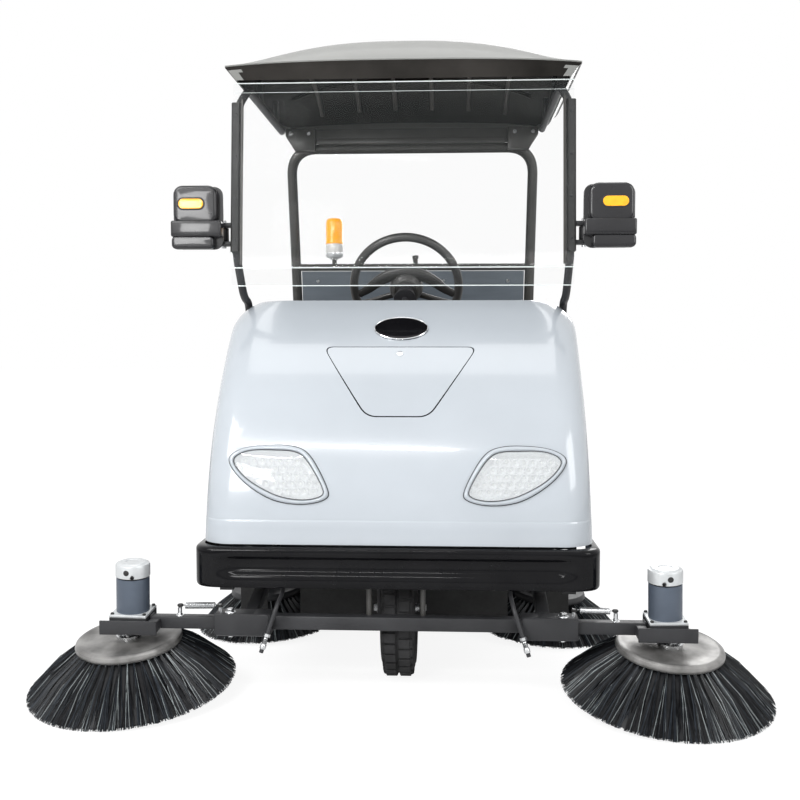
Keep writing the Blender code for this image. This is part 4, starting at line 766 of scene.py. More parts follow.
def roof_z(x, y):
    """The roof's outer height."""
    across = max(0.0, 1.0 - abs(x / ROOF_HALF) ** 2.6)
    middle = (ROOF_FRONT_Y + ROOF_BACK_Y) / 2
    along = max(0.0, 1.0 - abs((y - middle) / (ROOF_BACK_Y - middle)) ** 2.8)
    return ROOF_EDGE_Z + (ROOF_CROWN_Z - ROOF_EDGE_Z) * (across * (0.06 + 0.94 * along)) ** 0.8


def roof_half(y):
    share = (y - ROOF_FRONT_Y) / (ROOF_BACK_Y - ROOF_FRONT_Y)
    return ROOF_HALF - 0.06 * max(0.0, (share - 0.75) / 0.25) ** 2


def make_roof():
    columns, rows = 40, 36
    lines = []
    for j in range(rows + 1):
        y = ROOF_FRONT_Y + (ROOF_BACK_Y - ROOF_FRONT_Y) * (0.5 - 0.5 * math.cos(math.pi * j / rows))
        half = roof_half(y)
        xs = [half * math.sin(math.radians(90) * (2 * i / columns - 1)) for i in range(columns + 1)]
        lines.append([Vector((x, y, roof_z(x * ROOF_HALF / half, y) - 0.0015)) for x in xs])

    def shell(drop, skirt_depth, reach):
        bm = bmesh.new()
        grid = grid_faces(bm, [[p - Vector((0, 0, drop)) for p in line] for line in lines])
        edge = grid[0] + [line[-1] for line in grid[1:]] + list(reversed(grid[-1][:-1])) + [line[0] for line
            in reversed(grid[1:-1])]
        last = edge
        for share in (0.1, 0.5, 1.0):
            ring = []
            for vert in edge:
                inward = Vector((-0.03 * vert.co.x / ROOF_HALF, 0.02 if vert.co.y < 0 else -0.02, 0.0))
                ring.append(bm.verts.new(vert.co + inward * share * reach + Vector((0, 0, -skirt_depth * share
                                         + (ROOF_EDGE_Z - vert.co.z) * share))))
            for a, b, c, d in zip(last, last[1:] + last[:1], ring[1:] + ring[:1], ring):
                face = bm.faces.new((b, a, d, c))
                front = max(a.co.y, b.co.y) < ROOF_FRONT_Y + 0.028
                face.material_index = 1 if share > 0.2 and front and max(abs(a.co.x),
                    abs(b.co.x)) < 0.508 else 0
            last = ring
        bmesh.ops.recalc_face_normals(bm, faces=bm.faces)
        crown = min(bm.faces, key=lambda f: (f.calc_center_median() - Vector((0, 0.07, 2))).length)
        if crown.normal.z < 0:
            bmesh.ops.reverse_faces(bm, faces=bm.faces[:])
        return bm

    outer = shell(0.0, ROOF_SKIRT, 1.0)
    piece("roof_shell", "chassis", [ROOF, LINER], [thicken(outer, 0.0024)], "roof_canopy",
        angle=50)
    liner = shell(0.0046, ROOF_SKIRT - 0.006, 1.15)
    bmesh.ops.reverse_faces(liner, faces=liner.faces[:])
    for face in liner.faces:
        face.material_index = 0
    ribs = []
    for x in (-0.35, -0.205, -0.065, 0.075, 0.215, 0.355):
        path = [(x, y, roof_z(x * ROOF_HALF / roof_half(y), y) - 0.0105) for y in
                (ROOF_FRONT_Y + 0.045 + 0.8 * i / 24 for i in range(25))]
        ribs.append(use(sweep(path, rect(0.015, 0.011, 0.0035), up=(0, 0, 1)), 1))
    for y in (-0.19, 0.3):
        path = [(x, y, roof_z(x, y) - 0.0095) for x in (-0.44 + 0.88 * i / 24 for i in range(25))]
        ribs.append(sweep(path, rect(0.02, 0.008, 0.003), up=(0, 0, 1)))
    piece("roof_liner", "chassis", [LINER, RIB], [liner, *ribs], angle=50)


# ---------------------------------------------------------------- console, steering, pedals
def make_console():
    outline = [(-0.1955, 0.48), (-0.1955, 1.0995), (-0.105, 1.0595), (-0.085, 1.02), (-0.165, 0.9),
        (-0.165, 0.48)]
    body = plate(outline, -0.4955, 0.4955, "X", 0.005)
    body = boolean(body, [box((-0.02, -0.3, 0.4), (0.02, -0.15, 1.2), 0)])
    up = Vector((0.0, 0.04, 0.091)).normalized()
    face = Vector((0.0, -0.15, 1.0798)) + up * 0.0004
    trim = []
    for x, wide in ((-0.16, 0.1), (0.11, 0.11)):
        trim.append(use(box((-wide / 2, -0.026, 0.0), (wide / 2, 0.026, 0.0025), 0.001, 2,
            frame_to(face + Vector((x, 0, 0)), up)), 1))
        for dx in (-wide / 2 + 0.008, wide / 2 - 0.008):
            trim.append(use(bolt(face + Vector((x + dx, 0, 0)) + up * 0.0025, up, 0.0025, False), 2))
    for k in range(3):
        at = frame_to(face + Vector((-0.19 + 0.03 * k, 0, 0)) + up * 0.0025, up)
        trim.append(box((-0.009, -0.013, 0), (0.009, 0.013, 0.003), 0.001, 2, at))
        trim.append(box((-0.007, -0.011, 0.002), (0.007, 0.004, 0.006), 0.0015, 2, at))
    dial = lathe([(0, 0.003), (0.019, 0.003), (0.021, 0.0045), (0.0225, 0.003), (0.0225, 0.0)],
        face + Vector((0.11, 0, 0)) + up * 0.002, up, 32)
    trim.append(use(dial, 2))
    piece("console_shell", "chassis", [PLASTIC, GLOSS, CHROME], [body, *trim], "dashboard")
    at = face + Vector((-0.3, 0.0, 0.0))
    collar = use(lathe([(0.011, 0.0), (0.024, 0.0), (0.024, 0.0035), (0.021, 0.0055), (0.011, 0.0055),
        (0.011, 0.0)], at, up, 32), 1)
    piece("stop_collar", "chassis", [RED, YELLOW], [collar])
    cap = lathe([(0, 0.03), (0.009, 0.0292), (0.0155, 0.0268), (0.0192, 0.0225), (0.02, 0.019),
        (0.019, 0.0142), (0.009, 0.012), (0.009, 0.0062), (0, 0.0062)], at, up, 40)
    piece("stop_mushroom", "emergency_stop", RED, [cap], "emergency_stop")
    at = face + Vector((0.26, 0.0, 0.0))
    ring = lathe([(0, 0.0055), (0.0085, 0.0055), (0.0095, 0.008), (0.012, 0.007), (0.012, 0.0), (0, 0.0)], at,
        up, 32)
    bow = box((-0.0015, -0.0105, 0.016), (0.0015, 0.0105, 0.034), 0.001, 2, frame_to(at, up))
    blade = box((-0.001, -0.004, 0.004), (0.001, 0.004, 0.018), 0.0004, 1, frame_to(at, up))
    piece("ignition_key", "key_switch", [CHROME, PLASTIC], [ring, use(bow, 1), blade], "key_switch")

    for name, x, width in (("accelerator_pedal", -0.17, 0.07), ("brake_pedal", -0.04, 0.08)):
        low, top = Vector((x, -0.0585, 0.492)), Vector((x, -0.1225, 0.594))
        tread = plate([(-0.062, 0.49), (-0.126, 0.592), (-0.119, 0.596), (-0.055, 0.494)], x - width / 2,
            x + width / 2, "X")
        barrel = use(rod((x - width / 2, -0.056, 0.486), (x + width / 2, -0.056, 0.486), 0.0078), 1)
        ridges = [box((x - width / 2 + 0.006, -0.0012, -0.001), (x + width / 2 - 0.006, 0.0012, 0.0012),
            0.0006, 1) for _ in range(7)]
        for i, ridge in enumerate(ridges):
            at = low + (top - low) * (0.12 + 0.125 * i) + Vector((0, 0.0062, 0.0036))
            ridge.transform(Matrix.Translation(Vector((0, at.y, at.z))))
        piece(name + "_pad", name, [RUBBER, ZINC], [tread, barrel, *ridges], name)


def make_steering():
    """Thick rim, arched moulded spokes, hub with its ring, horn button, cowl and shaft."""
    place = frame_to(STEER_CENTRE, STEER_AXIS)
    turn = [math.tau * i / 96 for i in range(96)]
    rim = sweep([(STEER_R * math.cos(a), STEER_R * math.sin(a), 0) for a in turn], circle(0.0145, 18),
        up=(0, 0, 1), closed=True)
    arch = [(-0.16, 0.028, -0.002), (-0.128, 0.008, -0.006), (-0.095, -0.022, -0.01),
        (-0.055, -0.046, -0.012), (0.0, -0.056, -0.012)]
    arch += [(-x, y, z) for x, y, z in reversed(arch[:-1])]
    wings = sweep(rounded(arch, 0.05, 5), rect(0.036, 0.016, 0.006), up=(0, 0, 1),
                  size=lambda t: 0.72 + 0.5 * math.sin(math.pi * t))
    lower = [(-0.15, 0.062, -0.002), (-0.105, 0.048, -0.008), (-0.05, 0.026, -0.012), (0.0, 0.02, -0.014)]
    lower += [(-x, y, z) for x, y, z in reversed(lower[:-1])]
    brace = sweep(rounded(lower, 0.04, 5), rect(0.02, 0.012, 0.004), up=(0, 0, 1))
    down = sweep([(0, 0.03, -0.012), (0, 0.1, -0.008), (0, 0.16, -0.002)], rect(0.03, 0.012, 0.004),
        up=(0, 0, 1))
    hub = lathe([(0.0305, 0.012), (0.046, 0.0115), (0.054, 0.008), (0.0575, 0.001), (0.056, -0.012),
        (0.052, -0.028), (0.04, -0.038), (0.024, -0.045), (0, -0.045)], segments=48)
    cup = lathe([(0.0305, 0.012), (0.0305, 0.0035), (0, 0.0035)], segments=48)
    ring = use(lathe([(0.034, -0.0405), (0.037, -0.0435), (0.043, -0.042), (0.046, -0.037), (0.044, -0.034)],
        segments=48), 1)
    shapes = [rim, wings, brace, down, hub, cup, ring]
    for bm in shapes:
        bm.transform(place)
    grip = shade("wheel_grip", (0.03, 0.029, 0.028), 0.34, coat=0.15, vary=0.15, scale=16, grain=0.3,
        grain_scale=700)
    piece("wheel_moulding", "steering_wheel", [grip, STEEL_GREY], shapes, "steering_wheel",
        angle=50)
    horn = lathe([(0, 0.017), (0.01, 0.0167), (0.02, 0.0155), (0.0265, 0.0125), (0.029, 0.009),
        (0.029, 0.0076), (0, 0.0076)], STEER_CENTRE, STEER_AXIS, 40)
    piece("horn_cap", "horn_button", GLOSS, [horn], "horn_button")
    cowl = lathe([(0, -0.0478), (0.024, -0.0478), (0.0262, -0.05), (0.03, -0.075), (0.0375, -0.1035),
        (0.0365, -0.105), (0, -0.105)], STEER_CENTRE, STEER_AXIS, 40)
    groove = [use(lathe([(0.0285 + 0.0022 * k, -0.068 - 0.009 * k), (0.03 + 0.0022 * k, -0.07 - 0.009 * k),
        (0.029 + 0.0022 * k, -0.072 - 0.009 * k)], STEER_CENTRE, STEER_AXIS, 40), 1) for k in range(3)]
    shaft = use(tube([STEER_CENTRE - STEER_AXIS * 0.1, (0.0, -0.176, 1.128), (0.0, -0.178, 0.7),
        (0.0, -0.37, 0.63)], 0.0108, 0.02), 1)
    piece("column_cowl", "chassis", [PLASTIC, FRAME], [cowl, *groove, shaft], "steering_column")


# ---------------------------------------------------------------- wheels and axle
def tyre_shapes(centre):
    """Tyre with a rounded shoulder, two rows of lugs and a centre groove, on a dished rim with bolts."""
    half = WHEEL_W / 2
    side = [(0.098, half - 0.01), (0.105, half - 0.004), (0.125, half - 0.0005), (0.15, half - 0.0008),
        (0.17, half - 0.003), (0.184, half - 0.0075), (0.1905, half - 0.013), (0.1925, half - 0.02),
        (0.1925, 0.004), (0.19, 0.0)]
    profile = side + [(r, -h) for r, h in reversed(side[:-1])] + [(0.096, -half + 0.014),
        (0.096, half - 0.014), side[0]]
    shapes = [lathe(profile, centre, (1, 0, 0), 96)]
    for s in (1, -1):
        for r in (0.128, 0.16):
            shapes.append(lathe([(r - 0.0012, s * (half - 0.002)), (r, s * (half + 0.0)),
                (r + 0.0012, s * (half - 0.002))], centre, (1, 0, 0), 96))
    place = frame_to(centre, (1, 0, 0))
    count = 34
    for i in range(count):
        for s in (1, -1):
            a = math.tau * (i + (0.5 if s > 0 else 0.0)) / count
            spin = place @ Matrix.Rotation(a, 4, "Z")
            wide = math.tau * 0.196 / count - 0.0065
            low, high = sorted((s * 0.0045, s * (half - 0.014)))
            shapes.append(box((0.189, -wide / 2, low), (0.1985, wide / 2, high), 0.0012, 1, spin))
            low, high = sorted((s * (half - 0.017), s * (half - 0.0062)))
            shapes.append(box((0.181, -wide / 2 + 0.002, low), (0.1935, wide / 2 - 0.002, high), 0.0025, 1,
                spin))
    rim = [(0.03, half - 0.0225), (0.034, half - 0.03), (0.06, half - 0.031), (0.082, half - 0.03),
        (0.09, half - 0.02), (0.0955, half - 0.0105), (0.0985, half - 0.009), (0.0985, half - 0.0125),
        (0.094, half - 0.024)]
    for s in (1, -1):
        shapes.append(use(lathe([(r, s * h) for r, h in rim], centre, (1, 0, 0), 64), 1))
        hub = [(0.017, s * (half - 0.0235)), (0.03, s * (half - 0.0225)), (0.032, s * (half - 0.024)),
            (0.033, s * (half - 0.032))]
        shapes.append(use(lathe(hub, centre, (1, 0, 0), 48), 1))
        for k in range(5):
            a = math.tau * k / 5
            at = place @ Vector((0.058 * math.cos(a), 0.058 * math.sin(a), s * (half - 0.031)))
            shapes.append(use(bolt(at, (s, 0, 0), 0.0062), 2))
            hole = place @ Vector((0.074 * math.cos(a + 0.63), 0.074 * math.sin(a + 0.63), s * (half - 0.03)))
            shapes.append(use(lathe([(0, 0.0006), (0.0065, 0.0006), (0.0085, 0.0002), (0.009, -0.001)], hole,
                (s, 0, 0), 20), 3))
    return shapes


def make_wheels():
    looks = [TYRE, RIM, ZINC, RUBBER]
    hub = Vector((0.0, FRONT_AXLE_Y, WHEEL_R))
    piece("front_tyre", "front_wheel", looks, tyre_shapes(hub), "front_wheel")
    for name, flip in SIDES:
        centre = Vector((REAR_TRACK_HALF, REAR_AXLE_Y, WHEEL_R))
        piece("rear_tyre_" + name, "rear_wheel_" + name, looks, tyre_shapes(centre), "rear_wheel_" + name,
            flip=flip)
        cap = lathe([(0, 0.4945), (0.01, 0.4945), (0.0155, 0.492), (0.016, 0.489), (0.016, 0.47)],
            (0, REAR_AXLE_Y, WHEEL_R), (1, 0, 0), 32)
        piece("axle_end_" + name, "chassis", ZINC, [cap], flip=flip)
    leg = [(-0.465, 0.18), (-0.455, 0.3), (-0.44, 0.424), (-0.52, 0.424), (-0.505, 0.3), (-0.495, 0.18)]
    shapes = []
    for s in (1, -1):
        low, high = sorted((s * 0.058, s * 0.068))
        shapes.append(plate(leg, low, high, "X", 0.002))
        shapes.append(use(bolt((s * 0.068, FRONT_AXLE_Y, WHEEL_R), (s, 0, 0), 0.011), 1))
        shapes.append(weld((s * 0.066, -0.512, 0.4125), (s * 0.066, -0.448, 0.4125)))
    shapes.append(box((-0.068, -0.52, 0.412), (0.068, -0.44, 0.43), 0.003))
    shapes.append(use(rod((-0.068, FRONT_AXLE_Y, WHEEL_R), (0.068, FRONT_AXLE_Y, WHEEL_R), 0.0118), 1))
    shapes.append(rod((0, FRONT_AXLE_Y, 0.42), (0, FRONT_AXLE_Y, 0.6), 0.0218, 32))
    gear = [(0.0445 if i % 4 < 2 else 0.0395) for i in range(96)]
    outline = [(g * math.cos(math.tau * i / 96), FRONT_AXLE_Y + g * math.sin(math.tau * i / 96)) for i,
        g in enumerate(gear)]
    shapes.append(use(plate(outline, 0.59, 0.598, "Z", 0), 1))
    piece("wheel_fork", "steering_fork", [FRAME, ZINC], shapes, "steering_fork")
    keep("rear_axle", FRAME)
    fins = [lathe([(0.058, 0.0), (0.0592, 0.001), (0.0592, 0.005), (0.058, 0.006)],
        (0, 0.752 + 0.012 * k, WHEEL_R), (0, 1, 0), 32) for k in range(8)]
    fins.append(use(lathe([(0, 0.0006), (0.05, 0.0006), (0.0575, -0.002), (0.058, -0.01)], (0, 0.86, WHEEL_R),
        (0, 1, 0), 32), 1))
    piece("drive_motor_fins", "chassis", [MOTOR, CAP], fins)


# ---------------------------------------------------------------- brushes
def brush_up(out, forward):
    return Vector((math.sin(out), -math.sin(forward), 1.0)).normalized()


FRONT_UP = brush_up(math.radians(2.5), math.radians(7.2))
MOTOR_UP = brush_up(math.radians(-1.5), math.radians(3.0))
REAR_UP = brush_up(math.radians(3.0), math.radians(3.0))


def filaments(centre, up, disc_r, ring_r, drop, count, tufts, thick):
    """Bristles in tufts round the disc, fanning out to the ring; three shades of strand."""
    place = frame_to(centre, up)
    bm = bmesh.new()
    for _ in range(count):
        tuft = RNG.randrange(tufts)
        layer = RNG.random()
        root_a = math.tau * (tuft + 0.07 * RNG.uniform(-1, 1)) / tufts
        tip_a = root_a + RNG.gauss(0, 0.3) * math.tau / tufts
        root_r = disc_r * (0.965 - 0.22 * layer) + RNG.uniform(-0.001, 0.001)
        tip_r = ring_r * (0.998 - 0.1 * layer * layer) * RNG.uniform(0.992, 1.0)
        tip_h = -drop * (0.998 - 0.012 * RNG.random())
        sag = RNG.uniform(0.002, 0.009)
        rings = []
        for share in (0.0, 0.5, 1.0):
            a = root_a + (tip_a - root_a) * share
            r = root_r + (tip_r - root_r) * share ** 0.93
            h = -0.008 + (tip_h + 0.008) * share + sag * 4 * share * (1 - share)
            here = Vector((r * math.cos(a), r * math.sin(a), h))
            across = Vector((-math.sin(a), math.cos(a), 0)) * thick * (1.0 - 0.35 * share)
            over = Vector((0.5 * math.cos(a), 0.5 * math.sin(a), 0.8)) * thick * (1.0 - 0.35 * share)
            rings.append([bm.verts.new(place @ (here + p)) for p in (across, over, -across)])
        pick = RNG.random()
        look = 0 if pick < 0.68 else (1 if pick < 0.92 else 2)
        for a, b in zip(rings, rings[1:]):
            for j in range(3):
                k = (j + 1) % 3
                bm.faces.new((a[j], a[k], b[k], b[j])).material_index = look
        bm.faces.new(rings[-1]).material_index = look
    return bm


def side_brush(name, body, node, centre, up, disc_r, ring_r, drop, count, flip, hub, dish_look=DISC):
    core = lathe([(disc_r * 0.9, -0.014), (disc_r * 0.97, -0.02), (ring_r * 0.955, -drop * 0.93),
        (ring_r * 0.968, -drop * 0.975), (ring_r * 0.62, -drop * 0.96), (ring_r * 0.42, -0.022), (0, -0.013)],
        centre, up, 72)
    hairs = filaments(centre, up, disc_r, ring_r, drop, count, 48, 0.00125)
    rim = disc_r
    dish = use(lathe([(0.02, 0.0105), (rim * 0.5, 0.01), (rim * 0.6, 0.0072), (rim * 0.8, 0.0066),
        (rim * 0.88, 0.0092), (rim * 0.945, 0.009), (rim * 0.985, 0.005), (rim, -0.001),
        (rim * 0.998, -0.007), (rim * 0.98, -0.0115), (rim * 0.95, -0.0125), (rim * 0.9, -0.008)], centre, up,
        72), 3)
    boss = use(lathe([(0, hub), (0.02, hub), (0.0215, hub - 0.002), (0.0215, 0.02), (0.03, 0.0185),
        (0.034, 0.0165), (0.034, 0.0105)], centre, up, 48), 4)
    place = frame_to(centre, up)
    nuts = []
    for k in range(6):
        a = math.tau * (k + 0.3) / 6
        nuts.append(use(bolt(place @ Vector((0.0275 * math.cos(a), 0.0275 * math.sin(a), 0.0176)), up, 0.0042,
            False), 4))
    piece(name, body, [HAIR_DARK, HAIR_BLUE, HAIR_PALE, dish_look, ZINC], [core, hairs, dish, boss, *nuts],
        node, flip=flip)


def coil(start, end, radius, wire, turns):
    """An extension spring with a hook at each end."""
    start, end = Vector(start), Vector(end)
    along = (end - start).normalized()
    place = frame_to(start, along)
    length = (end - start).length
    body = length - 0.024
    path = [place @ Vector((0, 0, 0.0)), place @ Vector((radius * 0.6, 0, 0.006))]
    steps = turns * 12
    path += [place @ Vector((radius * math.cos(math.tau * i / 12), radius * math.sin(math.tau * i / 12),
        0.012 + body * i / steps)) for i in range(steps + 1)]
    path += [place @ Vector((radius * 0.6, 0, length - 0.006)), place @ Vector((0, 0, length))]
    return sweep(path, circle(wire, 6))


def make_brushes():
    shared = frame_to(MOTOR_AT, MOTOR_UP)
    for name, flip in SIDES:
        side_brush("side_brush_head_" + name, "side_brush_" + name, "side_brush_" + name, BRUSH, FRONT_UP,
            0.147, 0.2893, 0.127, 3800, flip, 0.0375)
        bar = box((0.46, ARM_Y - 0.017, CROSS_Z - 0.017), (0.682, ARM_Y + 0.017, CROSS_Z + 0.017), 0.003)
        shelf = box((-0.085, -0.066, 0.043), (0.06, 0.058, 0.0488), 0.0015, 2, shared)
        flange = box((0.654, -0.792, 0.197), (0.812, -0.7868, 0.236), 0.0015)
        lug = rod((0.602, ARM_Y, CROSS_Z), (0.602, ARM_Y, 0.262), 0.0058)
        shapes = [bar, shelf, flange, use(lug, 1), box((0.653, -0.79, 0.206), (0.68, -0.72, 0.234), 0.002),
                  weld((0.68, ARM_Y - 0.016, 0.2385), (0.68, ARM_Y + 0.016, 0.2385))]
        shapes.append(use(bolt((0.602, ARM_Y, 0.239), (0, 0, 1), 0.0075), 1))
        for dx in (-0.046, 0.046):
            shapes.append(use(lathe([(0, -0.0065), (0.005, -0.0065), (0.006, -0.004), (0.006, 0.0)],
                shared @ Vector((dx * 0.6, -0.04, 0.043)), MOTOR_UP, 6), 1))
        piece("swing_arm_" + name, "brush_arm_" + name, [FRAME, ZINC], shapes, "brush_arm_" + name,
            flip=flip)

        gear = box((-0.052, -0.052, 0.0494), (0.052, 0.052, 0.0785), 0.003, 2, shared)
        flat = use(box((-0.0515, -0.0515, 0.077), (0.0515, 0.0515, 0.085), 0.002, 2, shared), 2)
        body = use(lathe([(0, 0.083), (0.045, 0.083), (0.0455, 0.086), (0.0455, 0.178), (0.045, 0.18),
            (0.043, 0.181)], MOTOR_AT, MOTOR_UP, 56), 1)
        seam = use(lathe([(0.043, 0.181), (0.043, 0.1835), (0.0448, 0.184)], MOTOR_AT, MOTOR_UP, 56), 3)
        cap = use(lathe([(0.0448, 0.184), (0.0472, 0.185), (0.0474, 0.188), (0.0472, 0.216), (0.0455, 0.22),
            (0.04, 0.2215), (0.036, 0.2245), (0.02, 0.225), (0.018, 0.2232), (0, 0.2232)], MOTOR_AT, MOTOR_UP,
            56), 2)
        toward = (shared.to_3x3() @ Vector((0.1, -1.0, 0.0))).normalized()
        plug_at = shared @ Vector((0, 0, 0.2025)) + toward * 0.0455
        plug = use(lathe([(0, 0.003), (0.0064, 0.003), (0.0078, 0.0022), (0.0082, 0.0), (0.0082, -0.004)],
            plug_at, toward, 28), 3)
        shapes = [gear, flat, body, seam, cap, plug]
        for dx in (-0.0445, 0.0445):
            for dy in (-0.0445, 0.0445):
                shapes.append(use(lathe([(0, 0.0042), (0.0042, 0.0042), (0.0048, 0.0032), (0.0048, 0)],
                    shared @ Vector((dx, dy, 0.085)), MOTOR_UP, 16), 3))
        for dx in (-0.024, 0.024):
            shapes.append(use(lathe([(0, 0.0008), (0.0035, 0.0006), (0.004, 0.0)],
                shared @ Vector((dx, 0.01, 0.2246)), MOTOR_UP, 12), 4))
        shapes.append(use(lathe([(0, 0.0), (0.0055, 0.0), (0.0055, 0.0035), (0.0032, 0.006)],
            shared @ Vector((-0.012, -0.0468, 0.19)), (-0.3, -1, 0.1), 16), 3))
        piece("gear_motor_" + name, "brush_arm_" + name, [FRAME, MOTOR, CAP, RUBBER, ZINC], shapes,
              "brush_motor_" + name, flip=flip)
        spring = coil((0.492, ARM_Y, 0.268), (0.598, ARM_Y, 0.2662), 0.0078, 0.0015, 26)
        ends = [use(lathe([(0, 0.004), (0.006, 0.004), (0.0085, 0.002), (0.0085, -0.002), (0.006, -0.004),
            (0, -0.004)], (x, ARM_Y, 0.2672), (0, 0, 1), 16), 1) for x in (0.4895, 0.6005)]
        piece("arm_spring_" + name, "brush_frame", [ZINC, RUBBER], [spring, *ends], "return_spring_" + name,
            flip=flip)

        side_brush("rear_brush_head_" + name, "rear_side_brush_" + name, "rear_side_brush_" + name,
            REAR_BRUSH, REAR_UP, 0.125, 0.2455, 0.114, 1900, flip, 0.0355, FRAME)
        here = frame_to(REAR_BRUSH, REAR_UP)
        strut = plate([(-0.206, 0.335), (-0.2, 0.361), (-0.174, 0.359), (-0.02, 0.2), (0.0, 0.2),
            (0.0, 0.174), (-0.05, 0.174)], 0.394, 0.426)
        shelf = box((-0.092, -0.05, 0.037), (0.055, 0.05, 0.0428), 0.0015, 2, here)
        motor = use(lathe([(0, 0.19), (0.032, 0.19), (0.042, 0.1855), (0.044, 0.18), (0.044, 0.092),
            (0.052, 0.088), (0.052, 0.041), (0, 0.041)], REAR_BRUSH, REAR_UP, 40), 1)
        band = use(lathe([(0.0442, 0.15), (0.0446, 0.151), (0.0446, 0.158), (0.0442, 0.159)], REAR_BRUSH,
            REAR_UP, 40), 2)
        head = use(bolt((0.426, -0.19, 0.345), (1, 0, 0), 0.009), 2)
        piece("rear_arm_" + name, "rear_brush_arm_" + name, [FRAME, MOTOR, ZINC],
            [strut, shelf, motor, band, head], "rear_brush_arm_" + name, flip=flip)


def make_brush_frame():
    """Lift frame: cross tube, boxed sleeves with welds and bolts, guide rods, arms; spray pipe and nozzles."""
    half = 0.019
    shapes = [box((-0.4, CROSS_Y - half, CROSS_Z - half), (0.4, CROSS_Y + half, CROSS_Z + half), 0.003)]
    for s in (1, -1):
        def at(x):
            return s * x

        def span(x1, y1, z1, x2, y2, z2, bevel=0.002):
            return box((min(at(x1), at(x2)), y1, z1), (max(at(x1), at(x2)), y2, z2), bevel)

        shapes += [span(0.345, -0.768, CROSS_Z + 0.0175, 0.5, -0.7, CROSS_Z + 0.028),
                   span(0.345, -0.768, CROSS_Z - 0.028, 0.5, -0.7, CROSS_Z - 0.0175),
                   span(0.347, -0.77, CROSS_Z - 0.03, 0.497, -0.7645, CROSS_Z + 0.03),
                   span(0.343, -0.766, CROSS_Z - 0.029, 0.392, -0.702, CROSS_Z + 0.029)]
        shapes.append(use(rod((at(0.46), ARM_Y, CROSS_Z - 0.042), (at(0.46), ARM_Y, CROSS_Z + 0.038), 0.0078),
            1))
        shapes.append(use(bolt((at(0.46), ARM_Y, CROSS_Z + 0.028), (0, 0, 1), 0.0105), 1))
        shapes.append(use(rod((at(0.488), ARM_Y, CROSS_Z + 0.02), (at(0.488), ARM_Y, 0.272), 0.0048), 1))
        shapes.append(use(rod((at(0.075), -0.71, CROSS_Z), (at(0.075), -0.71, 0.35), 0.0075), 2))
        for z in (CROSS_Z + 0.0295, CROSS_Z - 0.029):
            shapes.append(weld((at(0.352), -0.7692, z), (at(0.492), -0.7692, z), 0.0017))
        shapes.append(weld((at(0.3995), CROSS_Y - 0.0185, CROSS_Z - 0.018),
            (at(0.3425), CROSS_Y - 0.019, CROSS_Z + 0.019), 0.002))
        arm = [(-0.71, CROSS_Z + 0.02), (-0.71, CROSS_Z - 0.014),
            (FRAME_PIVOT[0] - 0.004, FRAME_PIVOT[1] - 0.02), (FRAME_PIVOT[0] + 0.02, FRAME_PIVOT[1] - 0.012),
            (FRAME_PIVOT[0] + 0.02, FRAME_PIVOT[1] + 0.016), (FRAME_PIVOT[0] - 0.01, FRAME_PIVOT[1] + 0.018)]
        low, high = sorted((at(0.393), at(0.427)))
        shapes.append(plate(arm, low, high, "X", 0.002))
        shapes.append(use(bolt((at(0.427), FRAME_PIVOT[0], FRAME_PIVOT[1]), (s, 0, 0), 0.008), 1))
        shapes.append(use(bolt((at(0.375), -0.702, CROSS_Z), (0, 1, 0), 0.007), 1))
    piece("lift_frame", "brush_frame", [FRAME, ZINC, STEEL_GREY], shapes, "brush_frame")

    drop = [(0.362, -0.804, 0.158), (0.322, -0.782, 0.28), (0.316, -0.71, 0.304), (0.312, -0.71, 0.402)]
    route = [(-x, y, z) for x, y, z in drop] + list(reversed(drop))
    shapes = [tube(route, 0.0058, 0.02, 14)]
    for s in (1, -1):
        tip = Vector((s * 0.362, -0.804, 0.158))
        up = (Vector((s * 0.322, -0.782, 0.28)) - tip).normalized()
        shapes.append(use(lathe([(0, 0.0), (0.0036, 0.0), (0.0052, 0.003), (0.0052, 0.01), (0.0078, 0.011),
            (0.0082, 0.014), (0.0082, 0.022), (0.0074, 0.024), (0.0062, 0.025), (0.0062, 0.04),
            (0.0056, 0.042)], tip, up, 24), 1))
        shapes += [lathe([(0.006, 0.026 + 0.0026 * k), (0.0072, 0.0272 + 0.0026 * k),
            (0.006, 0.0284 + 0.0026 * k)], tip, up, 20) for k in range(5)]
        shapes.append(use(lathe([(0.0058, 0.044), (0.0095, 0.045), (0.0095, 0.053), (0.0058, 0.054)], tip, up,
            6), 1))
    piece("spray_pipe", "chassis", [FRAME, ZINC], shapes, "spray_bar")


